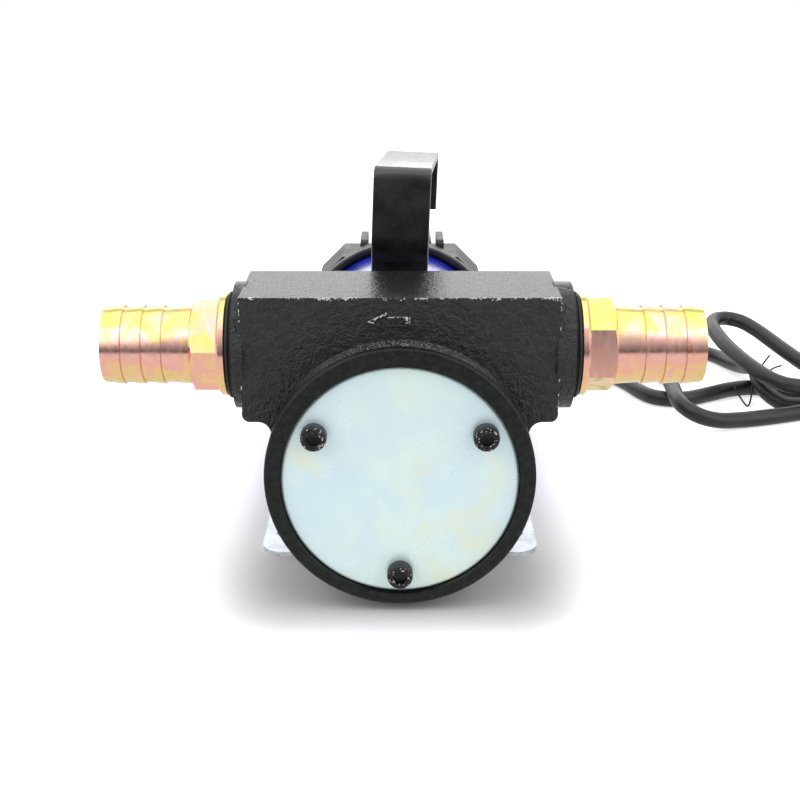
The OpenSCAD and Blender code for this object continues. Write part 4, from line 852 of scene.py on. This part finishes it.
@dataclass
class MainsLead:
    """The lead from the gland to its plug, tied in loops, with what is on it.

    Both routes are in millimetres: from the gland to the tie, and on to the plug.
    """

    radius: float = 4.4 * MM
    exit_spot: Triple = (0.020, 0.186, 0.041)
    steps: int = 5
    feed_route: tuple[Triple, ...] = (
        (20, 165, 41), (20, 178, 41), (20, 190, 41), (21, 206, 36), (26, 222, 25), (37, 236, 13),
        (54, 244, 6), (75, 244, 4.6), (95, 236, 4.6), (112, 221, 4.6), (125, 203, 4.6),
        (134, 183, 4.6), (139, 167, 4.6), (145, 156, 4.6), (155, 151.5, 4.6), (166, 154, 4.6),
        (179, 162, 4.6), (193, 171, 4.6), (207, 174, 4.6), (221, 166, 4.6), (233, 156, 5),
        (244, 151, 6.4), (256, 151, 6.4), (268, 151, 6.4))
    loop_route: tuple[Triple, ...] = (
        (282, 153, 5), (298, 155, 4.6), (313, 151, 4.6), (323, 141, 4.6), (326, 128, 4.6),
        (321, 115, 4.6), (310, 106, 4.6), (297, 104, 4.6), (284, 109, 4.6), (272, 121, 5),
        (260, 130, 6.4), (246, 132, 6.4), (232, 131, 5), (216, 125, 4.6), (201, 119, 4.6),
        (186, 114, 4.8), (172, 108, 6.5), (161, 107, 9.5), (154, 113, 12.5), (152, 125, 14),
        (153, 140, 14.2), (154, 156, 14), (155, 174, 11), (157, 194, 7), (161, 214, 4.8),
        (166, 232, 4.6), (173, 246, 4.6), (182, 253, 4.6), (192, 251, 4.6), (199, 242, 4.6),
        (204, 228, 4.8), (208, 211, 6.8), (209, 194, 11.4), (208, 178, 14.2), (206, 165, 14),
        (206, 154, 11.5), (210, 144, 8), (218, 139, 5.2), (231, 140.6, 5.2), (244, 141.4, 6.4),
        (256, 140.8, 6.4), (268, 141, 7), (281, 144, 10), (295, 147, 13.6), (309, 145, 14.2),
        (318, 137, 14.2), (320, 127, 14.2), (315, 118, 14.2), (305, 114, 14.4), (293, 115, 15),
        (281, 121, 15.6), (269, 130, 15.8), (257, 136, 15.8), (246, 136.6, 16), (235, 134, 17),
        (223, 131, 18.4), (213, 131, 19.6), (206, 138, 21), (201, 150, 22.6), (196, 166, 24.6),
        (192, 184, 27), (190, 202, 29), (190, 217, 30.6), (194, 229, 31.4), (202, 235, 31),
        (211, 232, 29.6), (218, 222, 27), (224, 207, 24), (230, 190, 21), (237, 173, 18),
        (245, 159, 16.4), (255, 148, 15.9), (266, 147, 15.9), (275, 155, 15.4), (282, 167, 15.4),
        (286, 180, 17), (288, 193, 18.6), (288, 206, 18.6))
    wire: float = 0.5 * MM
    plug_place: Triple = (0.288, 0.0, 0.0186)
    neck_ribs: int = 6
    pin_spread: float = 9.5 * MM

    def wires(self, bench: Bench) -> list[bpy.types.Object]:
        """Makes the thin tie wires that show between the loops."""
        bends = (
            ("low_wire", ((193, 166.5, 8.5), (195.5, 159, 3.5), (198, 151, 0.8),
                          (201.5, 158, 3.5), (204.5, 168.5, 8.5))),
            ("upright_wire", ((205.5, 156, 22.5), (207.5, 158.5, 24.5), (210.7, 159.5, 28.5))),
            ("level_wire", ((206.5, 144, 23.5), (210.5, 147.5, 24.5), (215.5, 152, 24.5))))
        return [bench.place(round_cord(name, smooth_path(points_of(rows), 6), self.wire),
                            "cord_cover") for name, rows in bends]

    def plug(self, bench: Bench) -> list[bpy.types.Object]:
        """Makes the plug: a ribbed neck, a grip with flats, a rim and two sleeved pins."""
        centre = Vector(self.plug_place)
        grip = soft_box(15.2 * MM, 18.0 * MM, 3.2)
        rows: list[Stage] = [(206, 4.6), (206, 5.5)]
        for k in range(self.neck_ribs):
            y, r = 208 + 3 * k, 5.6 + 0.38 * k
            rows += [(y, r), (y + 0.3, r - 0.8), (y + 1.2, r - 0.8), (y + 1.5, r + 0.1)]
        rows += [(226, 8), (229, 10.5), (233, soft_box(13 * MM, 14 * MM)), (239, grip),
                 (252, grip), (254, 18), (255, 18.4), (263, 18.4), (264, 17.6), (264, 15),
                 (263.2, 14.6), (263.2, 0.5)]
        body = Shape().turn(stages_of(rows), Axis.Y, centre, 96).make("plug_body")
        made = [bench.place(body, "plug_rubber", "mains_plug")]
        bar = stages_of([(263, 2.4), (281.2, 2.4), (282.4, 1.9), (283, 1)])
        collar = stages_of([(263.1, 2.45), (263.1, 3), (264.2, 3), (264.6, 2.45)])
        for number, nodes in enumerate(((), ("plug_pins",))):
            spot = centre + Vector(((2 * number - 1) * self.pin_spread, 0, 0))
            pin = Shape().turn(bar, Axis.Y, spot, 40).make(f"plug_pin_{number}")
            made.append(bench.place(pin, "brass", *nodes))
            sleeve = Shape().turn(collar, Axis.Y, spot, 40, closed=True)
            made.append(bench.place(sleeve.make(f"pin_collar_{number}"), "plug_rubber"))
        return made

    def build(self, bench: Bench) -> None:
        route = smooth_path(points_of((*self.feed_route, *self.loop_route)), self.steps)
        lead = bench.place(round_cord("mains_lead", route, self.radius), "cord_cover",
                           "power_cord", "cord_hank")
        others = self.plug(bench) + self.wires(bench) + [bench.frame["nodes"]["cord_tie"]]


# The pump head and its ports


@dataclass
class PumpHead:
    """The cover's socket screws and the rubber washers at the ports."""

    cover_z: float = 53.8 * MM
    screw_circle: float = 37.6 * MM
    screw_angles: tuple[float, ...] = (30, 150, 270)
    head_radius: float = 5 * MM
    port_y: float = -73.65 * MM
    port_z: float = 98.7 * MM
    inlet_face: float = 67.0 * MM
    outlet_face: float = 64.4 * MM
    washer_radius: float = 21 * MM
    washer_bore: float = 16.7 * MM
    washer_height: float = 2.6 * MM

    def socket_screws(self, bench: Bench) -> None:
        """Turns the three knurled socket screws."""
        knurl, socket = ribs(self.head_radius - 0.12 * MM, 0.12 * MM, 42), hexagon(5 * MM)
        profile = stages_of(((22, 3), (6, 3), (6, 4.8), (5.6, knurl), (1.3, knurl), (1.1, 4.75),
                             (0.5, 4.7), (0.1, 4.4), (0, 4), (0, 3.15), (0.25, socket),
                             (3, socket), (3.6, 0.2)), SCREW_FACE_Y)
        shape = Shape()
        for angle in self.screw_angles:
            a = math.radians(angle)
            spot = Vector((self.screw_circle * math.cos(a), 0,
                           self.cover_z + self.screw_circle * math.sin(a)))
            shape.turn(profile, Axis.Y, spot, 252)
        bench.place(shape.make("knurled_socket_screws", 28), "black_screws", "cover_screws")

    def washers(self, bench: Bench) -> None:
        """Turns the two washers, with a groove round each edge."""
        out, bore, high = self.washer_radius, self.washer_bore, self.washer_height
        profile = [(0.0, bore), (0.0, out - 0.3 * MM), (0.15 * high, out), (0.38 * high, out),
                   (0.46 * high, out - 0.5 * MM), (0.54 * high, out - 0.5 * MM),
                   (0.62 * high, out), (0.85 * high, out), (high, out - 0.3 * MM), (high, bore)]
        shape = Shape()
        for face, sign in ((self.inlet_face, 1), (self.outlet_face, -1)):
            shape.turn([(sign * (face + h), r) for h, r in profile], Axis.X,
                       Vector((0, self.port_y, self.port_z)), 120, closed=True)
        bench.place(shape.make("grooved_port_washers", 40), "black_rubber", "port_washers")

    def build(self, bench: Bench) -> None:
        """Builds the head's small parts."""
        self.socket_screws(bench)
        self.washers(bench)


# Handle, screws, switch boot and gland


@dataclass
class CarryHandle:
    """The bent flat strip, with its curved foot on the motor tube.

    Its leg leans forward between two heights, given as shares of its rise.
    """

    tube_radius: float = 46 * MM
    width: float = 24.4 * MM
    thick: float = 3 * MM
    leg_y: float = -13 * MM
    rise: float = 59.7 * MM
    grip: float = 87.6 * MM
    fall: float = 4.7 * MM
    lean: float = 5.5 * MM
    lip: float = 26 * MM
    foot: float = 40 * MM
    yaw: float = 3.5
    roll: float = 2.2
    roll_height: float = 65.1 * MM
    bend: float = 4 * MM
    round_off: float = 0.6 * MM
    lean_from: float = 0.235
    lean_to: float = 0.502

    def strip_line(self) -> list[Vector]:
        """The centre line of the strip, with its bends rounded, before yaw and roll."""
        base, top = self.tube_radius, self.tube_radius + self.rise - self.thick / 2
        low, high = base + self.lean_from * self.rise, base + self.lean_to * self.rise
        front = self.leg_y - self.lean
        start, end = Vector((0, self.leg_y, low)), Vector((0, front, high))
        mid = (low + high) / 2
        line = [Vector((0, self.leg_y, base + 0.3 * MM)),
                *bent_path((start, Vector((0, self.leg_y, mid)), Vector((0, front, mid)), end), 24)]
        top_front = Vector((0, front, top))
        top_rear = Vector((0, front + self.grip, top - self.fall))
        tip = top_rear - Vector((0, 0, self.lip))
        for before, corner, after in ((end, top_front, top_rear), (top_front, top_rear, tip)):
            a = corner + (before - corner).normalized() * self.bend
            b = corner + (after - corner).normalized() * self.bend
            line += bent_path((a, corner, b), 8)
        return [*line, tip]

    def section(self) -> list[tuple[float, float]]:
        """The strip's section, with its four edges rounded."""
        a, b, r = self.width / 2, self.thick / 2, self.round_off
        out = []
        for sx, sz, first in ((1, 1, 0), (-1, 1, 90), (-1, -1, 180), (1, -1, 270)):
            for k in range(4):
                angle = math.radians(first + 30 * k)
                out.append((sx * (a - r) + r * math.cos(angle), sz * (b - r) + r * math.sin(angle)))
        return out

    def add_foot(self, shape: Shape) -> None:
        """Adds the foot, a piece of a tube that lies on the motor's, with soft ends."""
        count = 16
        reach = math.asin(self.width / 2 / self.tube_radius)
        low, high = self.tube_radius + 0.05 * MM, self.tube_radius + self.thick
        start, soft = self.leg_y - self.thick / 2, self.round_off
        end = start + self.foot
        rings = []
        for y, drop, share in ((start, soft, 0.982), (start + soft, 0, 1), (end - soft, 0, 1),
                               (end, soft, 0.982)):
            half = reach * share
            arc = [math.pi / 2 - half + 2 * half * k / count for k in range(count + 1)]
            ring = [Axis.Y.place(y, high - drop, a) for a in arc]
            ring += [Axis.Y.place(y, low, a) for a in reversed(arc)]
            rings.append([Vector((0, 0, AXIS_Z)) + p for p in ring])
        shape.add_rings(rings)

    def build(self, bench: Bench) -> None:
        """Builds the strip and its foot as one piece."""
        turn = (Matrix.Rotation(math.radians(-self.yaw), 3, "Z")
                @ Matrix.Rotation(math.radians(self.roll), 3, "Y"))
        pivot = Vector((0, self.leg_y, self.roll_height))
        line = [Vector((0, 0, AXIS_Z)) + pivot + turn @ (p - pivot) for p in self.strip_line()]
        shape = Shape().sweep(line, self.section(), turn @ Vector((1, 0, 0)))
        self.add_foot(shape)
        bench.place(shape.make("bent_carry_strip", 40), "handle_paint", "carry_handle")


@dataclass(frozen=True)
class PanScrews:
    """Pan-head screws with a cross recess, several in one piece."""

    name: str
    node: str
    spots: tuple[Triple, ...]
    axis: Axis
    sign: int
    radius: float
    height: float
    shank: float
    reach: float

    def build(self, bench: Bench) -> None:
        """Turns the screws, heads outward. The head's rows are shares of its height and radius."""
        shape = Shape()
        cross = plus_sign(0.62 * self.radius, 0.17 * self.radius)
        head = [(self.sign * high * self.height, share * self.radius) for high, share in
                ((0, 1), (0.35, 1), (0.62, 0.95), (0.85, 0.82), (1, 0.66))]
        recess = [(self.sign * self.height, lambda a: 1.06 * cross(a)),
                  (self.sign * 0.4 * self.height, lambda a: 0.8 * cross(a)),
                  (self.sign * 0.3 * self.height, 0.02 * self.radius)]
        stem = [(-self.sign * self.reach, self.shank), (0.0, self.shank)]
        for spot in self.spots:
            shape.turn([*stem, *head, *recess], self.axis, Vector(spot), 96)
        bench.place(shape.make(self.name, 30), "zinc_screws", self.node)


@dataclass
class SwitchBoot:
    """The clear rain boot over the rocker switch: a rim and a soft dome."""

    centre: Triple = (1.1 * MM, 124 * MM, 97 * MM)
    half_x: float = 15.9 * MM
    half_y: float = 13.4 * MM
    high: float = 15 * MM

    def build(self, bench: Bench) -> None:
        """Builds the boot's outer and inner skin as one closed shell."""
        def ring(inset: float, power: float) -> Outline:
            """The boot's outline, drawn in by inset."""
            return soft_box(self.half_x - inset, self.half_y - inset, power)
        outer = ((0.0, 0.0, 8), (2.2, 0.0, 8), (2.6, 0.5, 8), (9.5, 1.0, 7), (12.4, 1.7, 6),
                 (14.0, 3.2, 5), (14.8, 5.6, 4), (15.0, 12.8, 2.4))
        inner = ((14.1, 12.9, 2.4), (13.9, 6.4, 4), (13.2, 4.2, 5), (11.8, 2.7, 6), (9.4, 2.0, 7),
                 (2.6, 1.7, 8), (0.0, 1.4, 8))
        profile = [(self.high * h / 15, ring(inset * MM, power)) for h, inset, power in
                   (*outer, *inner)]
        shape = Shape().turn(profile, Axis.Z, Vector(self.centre), 96, closed=True)
        bench.place(shape.make("clear_rain_boot", 50), "clear_boot", "rain_boot")


@dataclass
class CordGland:
    """The ribbed cap of the cord gland and the ribbed rubber sleeve that follows."""

    x: float = 20 * MM
    z: float = 41 * MM
    cap_start: float = 144 * MM
    cap_end: float = 158 * MM
    sleeve_ribs: int = 7
    bore: float = 4.45

    def build(self, bench: Bench) -> None:
        """Turns the cap and the sleeve."""
        centre = Vector((self.x, 0, self.z))
        grip = ribs(10.2 * MM, 0.3 * MM, 24)
        rows: list[Stage] = [
            (0, 8.1), (0, 9.9), (0.5, grip), (7, grip), (8, 10), (11.5, 9.2), (14, 8), (14, 6.5),
            (10, 6.5), (10, 8.1)]
        cap = Shape().turn(stages_of(rows, self.cap_start), Axis.Y, centre, 192, closed=True)
        bench.place(cap.make("ribbed_gland_cap", 30), "black_plastic", "gland_cap")
        rows = [(-7, self.bore), (-7, 8), (-3.5, 8), (-3.5, 6.4), (0, 6.4), (0.3, 7)]
        for k in range(self.sleeve_ribs):
            y, r = 2 + 3.4 * k, 7.1 - 1.5 * k / (self.sleeve_ribs - 1)
            rows += [(y, r), (y + 0.3, r - 0.9), (y + 1.5, r - 0.95), (y + 1.8, r - 0.1)]
        rows += [(27.6, 5.5), (28, 5.1), (28, self.bore)]
        sleeve = Shape().turn(stages_of(rows, self.cap_end), Axis.Y, centre, 64, closed=True)
        bench.place(sleeve.make("ribbed_sleeve", 30), "black_rubber", "cord_relief")


BOX_SCREW_SIDE = 31 * MM
PAN_SCREWS = (
    PanScrews("box_pan_screws", "box_screws",
              tuple((x, 140 * MM, AXIS_Z + z) for x in (-BOX_SCREW_SIDE, BOX_SCREW_SIDE)
                    for z in (-BOX_SCREW_SIDE, BOX_SCREW_SIDE)),
              Axis.Y, 1, radius=3.8 * MM, height=2.4 * MM, shank=2 * MM, reach=30 * MM),
    PanScrews("handle_pan_screws", "handle_screws", ((0, 3 * MM, 104 * MM), (0, 19 * MM, 104 * MM)),
              Axis.Z, 1, radius=4.5 * MM, height=3 * MM, shank=2.5 * MM, reach=10 * MM),
    PanScrews("foot_pan_screws", "bracket_screws",
              ((0, 3.92 * MM, 6.95 * MM), (0, 35.92 * MM, 6.95 * MM)),
              Axis.Z, -1, radius=4.5 * MM, height=3 * MM, shank=2.5 * MM, reach=9 * MM),
)


def main() -> None:
    """Builds the scene in order: studio, lead, head, handle, switch and screws."""
    logging.basicConfig(level=logging.INFO, format="%(message)s")
    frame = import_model()
    Studio().build()
    bench = Bench(frame)
    bench.dress_solids()
    for piece in (MainsLead(), PumpHead(), CarryHandle(), SwitchBoot(), CordGland(), *PAN_SCREWS):
        piece.build(bench)


if __name__ == "__main__":
    main()
